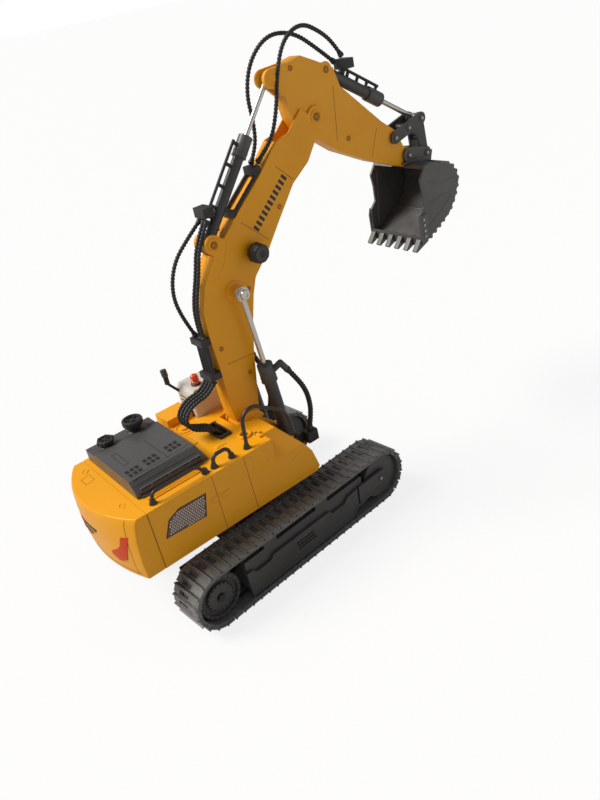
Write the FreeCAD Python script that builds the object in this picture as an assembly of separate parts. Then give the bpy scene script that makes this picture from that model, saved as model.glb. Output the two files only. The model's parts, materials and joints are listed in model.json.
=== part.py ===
import FreeCAD, Part
import math
import os
from FreeCAD import Vector

os.makedirs("parts", exist_ok=True)

# Toy excavator on tracks, working pose: boom up, stick out, bucket half curled.
# Frame: origin on the ground under the slew axis, +X to the front, +Y to the left, +Z up, millimetres.

# --- tracks ---------------------------------------------------------------------------------
track_yaw = 3.6             # degrees between the undercarriage and the upper house
wheel_base = 198.0          # sprocket centre to idler centre
track_height = 57.0
belt_thick = 6.2
belt_width = 35.0
track_span = 167.0          # outside to outside over both belts
belt_gap = 0.8              # from the wheels, rollers and carrier blocks to the belt
sprocket_teeth = 20
tooth_depth = 4.0
wheel_inset = 5.0           # wheel face in from the belt's edge
cover_thick = 3.0
cover_slots = 3
slot_length, slot_height, slot_pitch = 22.0, 1.4, 3.3
frame_wall = 2.2
roller_r = 5.0
roller_count = 5
axle_r = 3.0
axle_fit = 0.05             # radial running clearance on every axle and pin
gearbox_length = 34.0
chassis_length = 92.0
chassis_width = 88.0
chassis_low = 14.0
chassis_top = 48.0
chassis_wall = 3.0
battery_size = (62.0, 50.0, 18.0)

# --- slew ring and house -----------------------------------------------------------------------
ring_r = 38.0
ring_top = 60.0
ring_gap = 0.4
hub_r = 15.0
hub_wall = 3.0
turntable_r = 42.0
house_low = 65.0
floor_thick = 3.0
house_width = 118.0
house_wall = 2.5
deck_top = 122.5
joint_x = -121.0            # where the counterweight meets the side walls
rear_sections = [(0.0, -136.8, -148.0), (16.0, -137.6, -150.0), (37.5, -136.2, -151.0), (52.5, -133.2, -150.6),
                 (57.5, -130.2, -149.7)]             # height over the house's underside, corner x, middle x
front_profile = [(43, 0), (47, 4), (42, 23), (36, 33), (17, 57.5)]   # x, height over the house's underside
shoulder_start = 3.0        # front bevel along the outer edge of the right box
shoulder_width = 14.0
shoulder_drop = 21.5
cab_back_x = -16.0
cab_front_x = 50.0
cab_side_gap = 0.4          # between the cab and the bay of the lift cylinders
cab_height = 85.0
cab_wall = 2.0
cab_gap = 0.6
side_box_back = -44.0
side_box_width = 23.0
side_box_height = 8.0
hood_back, hood_front = -117.0, -50.0
hood_right, hood_left = -37.0, 54.0
hood_height = 13.5
hood_strip = 18.0           # lower strip along the hood's left edge
hood_step = 2.0
gland_x, gland_y = -19.0, -8.0
gland_length, gland_width, gland_height = 27.0, 12.0, 3.0
gland_lip = 2.0
gland_sink = 2.8            # pocket depth that the hose ends stand in

# --- boom, stick and bucket: pivots as (x, z) ----------------------------------------------------
boom_foot = (14.0, 114.0)
lift_base = (45.0, 86.0)
lift_pin = (31.0, 238.0)
stick_base = (22.0, 282.0)
stick_pivot = (148.0, 351.0)
stick_horn = (111.0, 389.0)
bucket_base = (168.0, 384.0)
rocker_pivot = (237.0, 310.0)
rocker_end = (273.0, 319.0)
bucket_pivot = (252.0, 290.0)
link_pivot = (276.0, 286.0)

boom_width = 18.0
boom_wall = 2.4
boom_foot_r = 12.0
boom_ear = 1.5              # thickness of each fork ear at the stick pivot
boom_ear_r = 9.0
boom_back = [(1.5, 123), (0, 139), (-1, 178), (-3, 207), (-3, 232), (4, 252), (19, 272), (38, 288),
             (78, 320), (103, 343), (116, 346), (133, 361)]
boom_front = [(155, 343), (142, 331), (132, 318), (112, 305), (88, 277), (74, 260), (55, 242), (49, 228),
              (42, 204), (36, 177), (27, 119)]
boom_fork = [(90, 352), (114, 334), (124, 318), (134, 304), (170, 304), (170, 380), (90, 380)]
stick_lug_r = 8.0
stick_lug_gap = 8.6         # clear width between the two lugs at the stick cylinder's foot
side_gap = 0.4              # between faces of neighbouring moving pieces
stick_width = boom_width - 2 * (boom_ear + side_gap)
stick_wall = 2.2
stick_outline = [(128, 346), (124, 356), (120, 378), (126, 397), (143, 400), (158, 393), (176, 384),
                 (181, 368), (224, 328), (240, 316)]
stick_under = [(257, 282), (250, 279), (208, 296), (169, 316), (145, 334)]
horn_r = 7.5
horn_gap = 7.4
tip_r = 7.5
tip_notch_r = 13.0          # notch in the bucket's top lip that the stick's tip turns in
rocker_boss_r = 6.5
pin_r = 2.5
stub_r = 1.8                # bucket stubs that stand loosely in the link's lower holes

cheek_gap = 0.6
cheek_thick = 2.6
cheek_r = 13.0
lift_side_gap = 0.8         # between a cheek and the lift cylinder beside it
lift_barrel_r, lift_rod_r, lift_barrel_length = 5.8, 2.4, 82.0
lift_offset = boom_width / 2 + cheek_gap + cheek_thick + lift_side_gap + lift_barrel_r
stick_barrel_r, stick_rod_r, stick_barrel_length = 4.6, 2.1, 91.0
bucket_barrel_r, bucket_rod_r, bucket_barrel_length = 5.0, 2.3, 74.0
collar_extra, collar_length = 1.4, 17.0
rod_gap = 0.3
rod_engaged = 40.0          # rod left inside its barrel at rest
open_pin_gap = 1.7          # radial room where a closed linkage is opened at its pin
rod_eye_wall = 2.2

rocker_plate = 2.4
rocker_r = 5.6
link_plate = 2.2
link_r = 5.2
bucket_width = 68.0
bucket_plate = 2.2
bucket_ear_r = 7.0
bucket_side = [(246, 283), (256, 284), (269, 279), (282, 275), (289, 267), (291, 257), (284, 241), (274, 229),
               (252, 218), (233, 209), (232, 217), (233, 239), (240, 246), (240, 260), (238, 272)]
bucket_inner = [(247, 279.5), (262, 277.5), (276, 271), (285, 264), (287, 257), (280.5, 243), (271.5, 231.5),
                (250.5, 221), (236, 212.5), (226, 230), (226, 284)]
tooth_count = 6
tooth_width = 5.6
tooth_tip = (224.5, 205.5)

# --- hoses ---------------------------------------------------------------------------------------
hose_r = 1.8
hose_pitch = 4.4
clamp_low_z, clamp_high_z = 173.0, 206.0
clamp_height = 6.0
run_x = -7.4                # the smooth tubes' distance along X, just behind the boom
pipe_r = 1.3
pipe_offset = 9.8
deck_hose_route = [(-8.2, 0, 168.6), (-16, 0, 159.5), (-33, 1, 157.5), (-45, 0, 149), (-43, -3, 138),
                   (-32, -6, 133), (-22, -8, 129.5), (-18.6, -8, 121)]
outer_hose_route = [(23, 4, 301.6), (8, 6, 290), (-9, 7, 275), (-18, 7, 252), (-15, 6.6, 229), (-7.5, 6.6, 209.6)]
inner_hose_route = [(24, 0, 301), (10.5, -1, 285), (3, -2, 262), (-5.5, -2, 241), (-8, -2.2, 225), (-7.4, -2.2, 209.4)]
loop_side = stick_width / 2 + 0.4
loop_a_route = [(82.5, 4, 330), (92, loop_side - 1.1, 340), (95.5, loop_side - 0.1, 358), (94, loop_side - 0.1, 382),
                (103, 6.4, 405), (123, 5, 420), (148, 4, 417), (169, 3, 401.5), (186.6, 3, 386.5)]
loop_b_route = [(84, -4, 331), (99, 1.1 - loop_side, 342), (110, -0.1 - loop_side, 366), (117, 0.1 - loop_side, 393),
                (130, -6, 415), (151, -5, 423), (172, -3.5, 412), (184, -3, 401), (190.5, -3, 390.6)]
lift_hose_route = [(x, lift_offset + out, z) for x, out, z in (
    (54.4, 7.8, 157.4), (60, 10.2, 147), (67, 12.4, 131), (68.5, 12.8, 114), (66, 12.6, 101), (62.4, 12.4, 90.5))]


# --- helpers -------------------------------------------------------------------------------------
def save(name, shape):
    shape.exportStep("parts/" + name + ".step")
    print(name, len(shape.Solids), "solid(s)", round(shape.Volume / 1000, 2), "cm3")


def box(x0, x1, y0, y1, z0, z1):
    return Part.makeBox(x1 - x0, y1 - y0, z1 - z0, Vector(x0, y0, z0))


def bar(a, b, radius):
    start, end = Vector(*a), Vector(*b)
    return Part.makeCylinder(radius, start.distanceToPoint(end), start, end - start)


def cross(point, radius, y0, y1):
    return Part.makeCylinder(radius, y1 - y0, Vector(point[0], y0, point[1]), Vector(0, 1, 0))


def plate(points, y0, y1):
    corners = [Vector(x, y0, z) for x, z in points]
    face = Part.Face(Part.makePolygon(corners + corners[:1]))
    return face.extrude(Vector(0, y1 - y0, 0))


def lozenge(a, b, ra, rb, y0, y1):
    """Two round ends joined by a straight-sided web."""
    dx, dz = b[0] - a[0], b[1] - a[1]
    length = math.hypot(dx, dz)
    nx, nz = -dz / length, dx / length
    web = [(a[0] + nx * ra, a[1] + nz * ra), (b[0] + nx * rb, b[1] + nz * rb),
           (b[0] - nx * rb, b[1] - nz * rb), (a[0] - nx * ra, a[1] - nz * ra)]
    return fuse([cross(a, ra, y0, y1), cross(b, rb, y0, y1), plate(web, y0, y1)])


def fuse(shapes):
    whole = shapes[0]
    for shape in shapes[1:]:
        whole = whole.fuse(shape)
    return whole.removeSplitter()


def mirrored(shape):
    return shape.mirror(Vector(0, 0, 0), Vector(0, 1, 0))


def pair(shape):
    return Part.makeCompound([shape, mirrored(shape)])


def yawed(shape):
    turned = shape.copy()
    turned.rotate(Vector(0, 0, 0), Vector(0, 0, 1), track_yaw)
    return turned


def inset(points, wall):
    """The same clockwise outline with every edge moved inwards by a wall."""
    moved = []
    for before, corner, after in zip(points[-1:] + points[:-1], points, points[1:] + points[:1]):
        a = Vector(corner[0] - before[0], 0, corner[1] - before[1]).normalize()
        b = Vector(after[0] - corner[0], 0, after[1] - corner[1]).normalize()
        inward_a, inward_b = Vector(a.z, 0, -a.x), Vector(b.z, 0, -b.x)
        reach = wall / (1 + inward_a.dot(inward_b))
        moved.append((corner[0] + (inward_a.x + inward_b.x) * reach, corner[1] + (inward_a.z + inward_b.z) * reach))
    return moved


def along(base, tip, t, w=0.0):
    """A point t mm from base towards tip, and w mm to the side that faces up and back."""
    length = math.hypot(tip[0] - base[0], tip[1] - base[1])
    ux, uz = (tip[0] - base[0]) / length, (tip[1] - base[1]) / length
    side = 1 if ux > 0 else -1
    return (base[0] + ux * t - uz * w * side, base[1] + uz * t + ux * w * side)


def at(point, y):
    return (point[0], y, point[1])


def rounded_path(points):
    """Straight runs joined by tangent arcs."""
    corners = [Vector(*p) for p in points]
    edges, start, smallest = [], corners[0], 1e9
    for before, corner, after in zip(corners, corners[1:], corners[2:]):
        a, b = (before - corner), (after - corner)
        half = (math.pi - a.getAngle(b)) / 2
        radius = 0.45 * min(a.Length, b.Length) / math.tan(half)
        smallest = min(smallest, radius)
        reach = radius * math.tan(half)
        p, q = corner + a.normalize() * reach, corner + b.normalize() * reach
        middle = (p + q) * 0.5
        to_centre = (middle - corner).normalize()
        centre = corner + to_centre * (radius / math.cos(half))
        edges += [Part.LineSegment(start, p).toShape(), Part.Arc(p, centre - to_centre * radius, q).toShape()]
        start = q
    edges.append(Part.LineSegment(start, corners[-1]).toShape())
    return Part.Wire(edges), smallest


def hose(name, points, radius):
    path, smallest = rounded_path(points)
    first = path.Edges[0]
    profile = Part.Wire([Part.makeCircle(radius, first.valueAt(first.FirstParameter),
                                         first.tangentAt(first.FirstParameter))])
    tube = path.makePipeShell([profile], True, False)
    ratio = tube.Volume / (math.pi * radius ** 2 * path.Length)
    print(name, "length", round(path.Length, 1), "smallest radius", round(smallest, 1), "volume ratio", round(ratio, 3))
    return tube


# --- undercarriage ---------------------------------------------------------------------------------
wheel_z = track_height / 2
wheel_reach = wheel_z - belt_thick - belt_gap      # radius of the wheels inside the belt
belt_out = track_span / 2
belt_in = belt_out - belt_width
loop_low, loop_high = belt_thick, track_height - belt_thick


def belt_loop(radius, y0, y1):
    half = wheel_base / 2
    ends = [cross((sx * half, wheel_z), radius, y0, y1) for sx in (-1, 1)]
    return fuse(ends + [box(-half, half, y0, y1, wheel_z - radius, wheel_z + radius)])


def track_belt():
    return belt_loop(wheel_z, -belt_out, -belt_in).cut(belt_loop(wheel_z - belt_thick, -belt_out - 1, -belt_in + 1))


def toothed_wheel():
    centre = (-wheel_base / 2, wheel_z)
    outer, inner = -belt_out + wheel_inset, -belt_in - wheel_inset
    body = cross(centre, wheel_reach - tooth_depth, outer, inner)
    tooth_half = math.pi * (wheel_reach - tooth_depth) / sprocket_teeth / 2
    root = wheel_reach - tooth_depth - 1.0
    tooth = box(centre[0] + root, centre[0] + wheel_reach, -(belt_out + belt_in) / 2 - 4,
                -(belt_out + belt_in) / 2 + 4, wheel_z - tooth_half, wheel_z + tooth_half)
    teeth = []
    for i in range(sprocket_teeth):
        turned = tooth.copy()
        turned.rotate(Vector(centre[0], 0, wheel_z), Vector(0, 1, 0), 360.0 * i / sprocket_teeth)
        teeth.append(turned)
    body = body.fuse(teeth).removeSplitter()
    return body.cut(cross(centre, axle_r + axle_fit, outer - 1, inner + 1))


def idler_wheel():
    centre = (wheel_base / 2, wheel_z)
    outer, inner = -belt_out + wheel_inset, -belt_in - wheel_inset
    groove_r, groove_half = wheel_reach - tooth_depth, 5.0
    middle = -(belt_out + belt_in) / 2
    wheel = cross(centre, wheel_reach, outer, inner)
    ring = cross(centre, wheel_reach + 1, middle - groove_half, middle + groove_half)
    ring = ring.cut(cross(centre, groove_r, middle - groove_half - 1, middle + groove_half + 1))
    return wheel.cut(ring).cut(cross(centre, axle_r + axle_fit, outer - 1, inner + 1))


def axle(x, y0, y1):
    return cross((x, wheel_z), axle_r, y0, y1)


cover_out = -belt_out + 0.5
cover_in = cover_out + cover_thick
frame_back = -wheel_base / 2 + wheel_reach + 7
frame_front = wheel_base / 2 - wheel_reach - 4
frame_low, frame_high = loop_low + 6.5, loop_high - 6.5
arm_half = 30.0
arm_low, arm_high = frame_low + frame_wall + 4, frame_high - frame_wall - 3
carrier_blocks = (-48.0, 14.0)
carrier_length = 15.0
gearbox_inner = belt_in - 9


def track_frame():
    """A channel open to the inside, with moulded rollers below, carrier blocks above and the idler's fork arm."""
    inner = -belt_in - 2
    channel = box(frame_back, frame_front, cover_in, inner, frame_low, frame_high)
    channel = channel.cut(box(frame_back + frame_wall, frame_front - frame_wall, cover_in + frame_wall, inner + 1,
                              frame_low + frame_wall, frame_high - frame_wall))
    pieces = [channel]
    for i in range(roller_count):
        x = frame_back + 14 + i * (frame_front - frame_back - 28) / (roller_count - 1)
        pieces.append(cross((x, loop_low + belt_gap + roller_r), roller_r, cover_in + 4, inner - 3))
    for x in carrier_blocks:
        pieces.append(box(x, x + carrier_length, cover_in, cover_in + 12, frame_high - 1, loop_high - belt_gap))
    arm_inner = -belt_in - wheel_inset + side_gap + 0.6
    arm = box(frame_front - 6, wheel_base / 2 + 8, arm_inner, inner, wheel_z - 8, wheel_z + 8)
    pieces.append(arm)
    pieces.append(axle(wheel_base / 2, cover_in, arm_inner + 0.5))
    return fuse(pieces)


def side_cover():
    """Long outer plate with two shallow notches, and a front plate that carries the idler's bolt."""
    low, high, notch = frame_low - 3.5, wheel_z + 6.5, 4.0
    outline = [(frame_back - 1, low), (frame_back - 2, high), (-66, high), (-62, high - notch), (-46, high - notch),
               (-42, high), (26, high), (30, high - notch), (46, high - notch), (50, high), (64, high + 2),
               (63, wheel_z - 11), (54, low)]
    main = plate(outline, cover_out, cover_in)
    for i in range(cover_slots):
        x, z = -17 + i, wheel_z - i * slot_pitch
        main = main.cut(plate([(x, z), (x + slot_length, z), (x + slot_length - 1, z - slot_height),
                               (x + 1, z - slot_height)], cover_out - 1, cover_in + 1))
    for x in (-34, 14):
        main = main.fuse(box(x, x + 8, cover_out - 0.5, cover_out + 0.5, wheel_z - 7.6, wheel_z - 6.6))
    nose = [(65, wheel_z - 11), (66, high + 2), (102, high + 2), (105, wheel_z - 10)]
    return Part.makeCompound([main, plate(nose, cover_out, cover_in)])


def gearbox():
    inner = -belt_in - wheel_inset + side_gap + 0.6
    casing = box(frame_back - gearbox_length, frame_back, inner, -gearbox_inner, wheel_z - 12, wheel_z + 12)
    return fuse([casing, axle(-wheel_base / 2, -belt_out + wheel_inset - 1.5, inner + 0.5)])


def chassis():
    half_l, half_w = chassis_length / 2, chassis_width / 2
    block = box(-half_l, half_l, -half_w, half_w, chassis_low, chassis_top)
    arms = box(-arm_half, arm_half, cover_in + frame_wall, -cover_in - frame_wall, arm_low, arm_high)
    ring = Part.makeCylinder(ring_r, ring_top - chassis_top + 1, Vector(0, 0, chassis_top - 1))
    tie = box(frame_back - gearbox_length, -half_l + 1, gearbox_inner - 12, gearbox_inner, wheel_z - 9, wheel_z + 9)
    whole = fuse([block, arms, ring, tie, mirrored(tie)])
    cavity = box(-half_l + chassis_wall, half_l - chassis_wall, -half_w + chassis_wall, half_w - chassis_wall,
                 chassis_low + chassis_wall, chassis_top - chassis_wall)
    return whole.cut(cavity).cut(Part.makeCylinder(hub_r + axle_fit, ring_top, Vector(0, 0, chassis_top - 6)))


save("chassis_frame", yawed(chassis()))
length, width, height = battery_size
save("battery_pack", yawed(box(-length / 2, length / 2, -width / 2, width / 2, chassis_low + chassis_wall,
                               chassis_low + chassis_wall + height)))
for node, shape in (("track_frame", track_frame()), ("side_cover", side_cover()), ("track_belt", track_belt()),
                    ("sprocket", toothed_wheel()), ("idler", idler_wheel())):
    save(node + "_right", yawed(shape))
    save(node + "_left", yawed(mirrored(shape)))
save("drive_gearboxes", yawed(pair(gearbox())))

# --- house -----------------------------------------------------------------------------------------
house_half = house_width / 2
floor_top = house_low + floor_thick
cheek_in = boom_width / 2 + cheek_gap
cheek_out = cheek_in + cheek_thick
bay_back = boom_foot[0] - cheek_r - 4
bay_side = cheek_out + 0.6
notch_back = lift_base[0] - lift_barrel_r - collar_extra - 10
notch_side = lift_offset + lift_barrel_r + collar_extra + 2.4
cab_right = notch_side + cab_side_gap
eye_half = lift_barrel_r - 0.4


def turntable():
    """Floor plate with the slew hub below and the two cheeks that carry the boom and the lift cylinders."""
    disc = Part.makeCylinder(turntable_r, house_low - ring_top - ring_gap, Vector(0, 0, ring_top + ring_gap))
    hub = Part.makeCylinder(hub_r, ring_top + ring_gap - chassis_top + 5, Vector(0, 0, chassis_top - 4))
    edge = house_half - house_wall
    floor = box(joint_x + 4, 36, -edge, edge, house_low, floor_top)
    outline = [(bay_back + 0.6, floor_top - 1), (boom_foot[0] - cheek_r, boom_foot[1]),
               (boom_foot[0] + cheek_r, boom_foot[1]), (lift_base[0] + 7, lift_base[1] + 2),
               (lift_base[0] + 4, lift_base[1] - 7), (34, floor_top - 1)]
    cheek = fuse([plate(outline, cheek_in, cheek_out), cross(boom_foot, cheek_r, cheek_in, cheek_out),
                  cross(lift_base, 7.0, cheek_in, cheek_out)])
    cheek = cheek.cut(cross(boom_foot, pin_r * 1.2, cheek_in - 1, cheek_out + 1))
    stub = cross(lift_base, axle_r, cheek_out - 0.5, lift_offset + eye_half + 1)
    whole = fuse([disc, hub, floor, cheek, mirrored(cheek), stub, mirrored(stub)])
    return whole.cut(Part.makeCylinder(hub_r - hub_wall, 40, Vector(0, 0, chassis_top - 10)))


def house_solid(inset, low, lid):
    """The house between the counterweight joint and its front, with every wall moved in by inset."""
    profile = [(joint_x, low - house_low)] + [(x - inset * 1.2, h) for x, h in front_profile]
    profile[1] = (profile[1][0], low - house_low)
    profile[-1] = (front_profile[-1][0] - inset, deck_top - house_low - lid)
    profile.append((joint_x, deck_top - house_low - lid))
    points = [(x, house_low + h) for x, h in profile]
    return plate(points, -house_half + inset, house_half - inset)


def house_shell():
    outer = house_solid(0, house_low, 0)
    bevel = [(-house_half - 1, deck_top + 1), (-house_half + shoulder_width, deck_top + 1),
             (-house_half - 1, deck_top - shoulder_drop * (1 + 1 / shoulder_width))]
    corners = [Vector(shoulder_start, y, z) for y, z in bevel]
    wedge = Part.Face(Part.makePolygon(corners + corners[:1])).extrude(Vector(60, 0, 0))
    inner = house_solid(house_wall, house_low, house_wall)
    inner_wedge = wedge.copy()
    inner_wedge.translate(Vector(-house_wall, house_wall, -house_wall))
    shell = outer.cut(wedge).cut(inner.cut(inner_wedge))
    guard = box(bay_back - house_wall, notch_back + house_wall, -bay_side - house_wall, bay_side + house_wall,
                floor_top, deck_top)
    notch_wall = box(notch_back - house_wall, 60, -notch_side - house_wall, notch_side + house_wall,
                     floor_top, deck_top)
    shell = fuse([shell, guard.common(outer), notch_wall.common(outer)])
    shell = shell.cut(box(bay_back, 60, -bay_side, bay_side, house_low - 1, deck_top + 1))
    shell = shell.cut(box(notch_back, 60, -notch_side, notch_side, house_low - 1, deck_top + 1))
    cab_bay = box(cab_back_x - cab_gap, 60, cab_right - cab_gap, house_half + 1, house_low - 1, deck_top + 1)
    cab_wall_block = box(cab_back_x - cab_gap - house_wall, notch_back, cab_right - cab_gap - house_wall,
                         house_half, floor_top, deck_top)
    shell = fuse([shell, cab_wall_block.common(outer)]).cut(cab_bay)
    side_box = box(side_box_back, cab_back_x - cab_gap - 1, house_half - side_box_width, house_half,
                   deck_top - 1, deck_top + side_box_height)
    cheek_cover = cross(boom_foot, cheek_r + 1.6, cheek_out + 0.6, cheek_out + 3.4)
    cheek_cover = cheek_cover.common(box(-60, notch_back, -60, 60, deck_top - 4, 200))
    shell = fuse([shell, side_box, cheek_cover, mirrored(cheek_cover).common(box(-60, 60, -60, 0, 0, 200))])
    return shell.cut(gland_box(gland_lip / 2, deck_top - 8, deck_top + 1))


def counterweight():
    """Rear casting: a wide arc at the back that swells below its top edge."""
    def section(z, corner_x, middle_x):
        a, b = Vector(joint_x, -house_half, z), Vector(corner_x, -house_half, z)
        middle, c = Vector(middle_x, 0, z), Vector(corner_x, house_half, z)
        d = Vector(joint_x, house_half, z)
        edges = [Part.LineSegment(a, b).toShape(), Part.Arc(b, middle, c).toShape(),
                 Part.LineSegment(c, d).toShape(), Part.LineSegment(d, a).toShape()]
        return Part.Wire(edges)
    wires = [section(house_low + height, corner_x, middle_x) for height, corner_x, middle_x in rear_sections]
    body = Part.makeLoft(wires, True, True)
    hollow = box(joint_x - 6, joint_x + 1, -house_half + 6, house_half - 6, house_low + 4, deck_top - 6)
    return body.cut(hollow)


def engine_hood():
    low = deck_top
    strip_y = hood_left - hood_strip
    main = [(hood_back, low), (hood_front + 2, low), (hood_front - 3, low + hood_height), (hood_back, low + hood_height)]
    strip = [(hood_back, low), (hood_front + 2, low), (hood_front - 3, low + hood_height - hood_step),
             (hood_back, low + hood_height - hood_step)]
    body = fuse([plate(main, hood_right, strip_y), plate(strip, strip_y - 1, hood_left)])
    hollow = [(hood_back + 2.2, low - 1), (hood_front - 1, low - 1), (hood_front - 5.5, low + hood_height - 4.2),
              (hood_back + 2.2, low + hood_height - 4.2)]
    side_cut = Part.Face(Part.makePolygon([Vector(hood_back - 1, y, z) for y, z in (
        (hood_right - 1, low + 4), (hood_right - 1, low + hood_height + 1), (hood_right + 9, low + hood_height + 1),
        (hood_right - 1, low + 4))])).extrude(Vector(hood_front - hood_back + 8, 0, 0))
    return body.cut(side_cut).cut(plate(hollow, hood_right + 4, hood_left - 2.2))


def rail(points, radius):
    return hose("rail", points, radius)


def hand_rails():
    edge = -house_half + 7
    low = deck_top
    hood_rail = rail([(-111, edge, low), (-110, edge, low + 10), (-67, edge, low + 10), (-61, edge, low)], 1.5)
    grab = rail([(-52, edge, low), (-51, edge, low + 11), (-36, edge, low + 11), (-34, edge, low)], 1.7)
    bevel_z = deck_top - shoulder_drop * (1 - (edge + house_half) / shoulder_width)
    front = rail([(-18, edge, low), (-15, edge, low + 43), (28, edge, low + 13), (31, edge, bevel_z - 0.6)], 1.7)
    return Part.makeCompound([hood_rail, grab, front])


def cab_outline(inset):
    low, high = floor_top, house_low + cab_height
    return [(cab_back_x + inset, low + inset), (cab_front_x - inset, low + inset), (cab_front_x + 3 - inset, low + 34),
            (cab_front_x - 12 - inset, high - 4 - inset), (cab_front_x - 17 - inset, high - inset),
            (cab_back_x + 3 + inset, high - inset), (cab_back_x + inset, high - 4 - inset)]


def cab_windows(y0, y1, margin):
    """Side window and door window."""
    high = house_low + cab_height
    door = [(12, floor_top + 30), (46, floor_top + 34), (37, high - 9), (12, high - 9)]
    rear = [(cab_back_x + 7, floor_top + 40), (7, floor_top + 40), (7, high - 9), (cab_back_x + 8, high - 9)]
    shapes = []
    for outline in (door, rear):
        middle_x = sum(p[0] for p in outline) / 4
        middle_z = sum(p[1] for p in outline) / 4
        shapes.append(plate([(x + margin * (1 if x > middle_x else -1), z + margin * (1 if z > middle_z else -1))
                             for x, z in outline], y0, y1))
    return shapes


def cab():
    y0, y1 = cab_right, house_half - 1.5
    high = house_low + cab_height
    shell = plate(cab_outline(0), y0, y1).cut(plate(cab_outline(cab_wall), y0 + cab_wall, y1 - cab_wall))
    for opening in cab_windows(y0 - 1, y1 + 1, 0):
        shell = shell.cut(opening)
    front = box(cab_front_x - 20, cab_front_x + 8, y0 + 5, y1 - 5, floor_top + 14, high - 9)
    shell = shell.cut(front)
    arm = fuse([bar((cab_back_x + 1, y1 - 4, high - 8), (cab_back_x - 8, y1 - 1, high + 4), 1.3),
                bar((cab_back_x - 8, y1 - 1, high + 4), (cab_back_x - 8, y1 - 1, high + 15), 2.4)])
    return fuse([shell, arm])


def cab_glass():
    y0, y1 = cab_right, house_half - 1.5
    glass = 1.0
    panes = cab_windows(y0 + 0.4, y0 + 0.4 + glass, 0) + cab_windows(y1 - 0.4 - glass, y1 - 0.4, 0)
    high = house_low + cab_height
    slope = plate([(cab_front_x + 3 - 1.6, floor_top + 34), (cab_front_x + 3 - 0.6, floor_top + 34),
                   (cab_front_x - 12 - 0.6, high - 9), (cab_front_x - 12 - 1.6, high - 9)], y0 + 5, y1 - 5)
    lower = plate([(cab_front_x - 0.6, floor_top + 15), (cab_front_x + 0.4, floor_top + 15),
                   (cab_front_x + 2.2, floor_top + 33.6), (cab_front_x + 1.2, floor_top + 33.6)], y0 + 5, y1 - 5)
    panes += [slope, lower]
    return Part.makeCompound(panes)


def cab_seat():
    y0, width = cab_right + 6, 16
    base = box(2, 22, y0, y0 + width, floor_top + cab_wall, floor_top + 22)
    back = plate([(0, floor_top + 20), (6, floor_top + 20), (2, floor_top + 52), (-4, floor_top + 52)], y0, y0 + width)
    return fuse([base, back])


def beacon():
    high = house_low + cab_height
    x, y = cab_back_x + 11, cab_right + 9
    base = Part.makeCylinder(4.2, 2, Vector(x, y, high))
    lens = Part.makeCylinder(3.4, 8, Vector(x, y, high + 2))
    return Part.makeCompound([base, lens])


def hood_caps():
    low = deck_top + hood_height - hood_step
    big = fuse([Part.makeCylinder(5.6, 9, Vector(-72, 36 + 8, low)), Part.makeCylinder(8.6, 5, Vector(-72, 44, low + 7))])
    small = fuse([Part.makeCylinder(5.0, 4, Vector(-101, 43, low)), Part.makeCylinder(7.0, 3.5, Vector(-101, 43, low + 3.5))])
    return Part.makeCompound([big.cut(Part.makeCylinder(4.0, 3, Vector(-72, 44, low + 10))), small])


def gland_box(margin, low, high):
    return box(gland_x - gland_width / 2 + margin, gland_x + gland_width / 2 - margin,
               gland_y - gland_length / 2 + margin, gland_y + gland_length / 2 - margin, low, high)


def hose_gland():
    """Oblong rubber collar on the deck, with a skirt and a floor inside the deck's pocket."""
    collar = gland_box(0, deck_top, deck_top + gland_height)
    skirt = gland_box(gland_lip / 2, deck_top - 6, deck_top)
    return fuse([collar, skirt]).cut(gland_box(gland_lip, deck_top - gland_sink, deck_top + gland_height + 1))


def hose_blocks():
    """Port blocks in front of the house, each on an arm that rises from the floor beside a lift cylinder."""
    inner = notch_side - 2.0
    arm = plate([(notch_back + 1.5, floor_top), (36, floor_top), (57, 78), (57, 88), (49, 88), (notch_back + 1.5, 76)],
                inner, notch_side - 0.2)
    block = box(56, 68, inner, inner + 9.5, 78, 89.4)
    return pair(fuse([arm, block]))


save("turntable", turntable())
save("house_shell", house_shell())
save("counterweight", counterweight())
save("engine_hood", engine_hood())
save("hood_caps", hood_caps())
save("hand_rails", hand_rails())
save("cab_shell", cab())
save("cab_glass", cab_glass())
save("cab_seat", cab_seat())
save("cab_beacon", beacon())
save("hose_gland", hose_gland())
save("hose_blocks", hose_blocks())
save("slew_motor", fuse([Part.makeCylinder(14, 22, Vector(-58, 0, floor_top)),
                         Part.makeCylinder(6, 6, Vector(-58, 0, floor_top + 21))]))
board = box(-112, -78, -34, 34, floor_top + 6, floor_top + 8)
feet = [Part.makeCylinder(2, 6, Vector(x, y, floor_top)) for x in (-108, -82) for y in (-30, 30)]
save("circuit_board", fuse([board] + feet))
save("boom_foot_pin", cross(boom_foot, pin_r * 1.2, -cheek_out, cheek_out))


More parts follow.
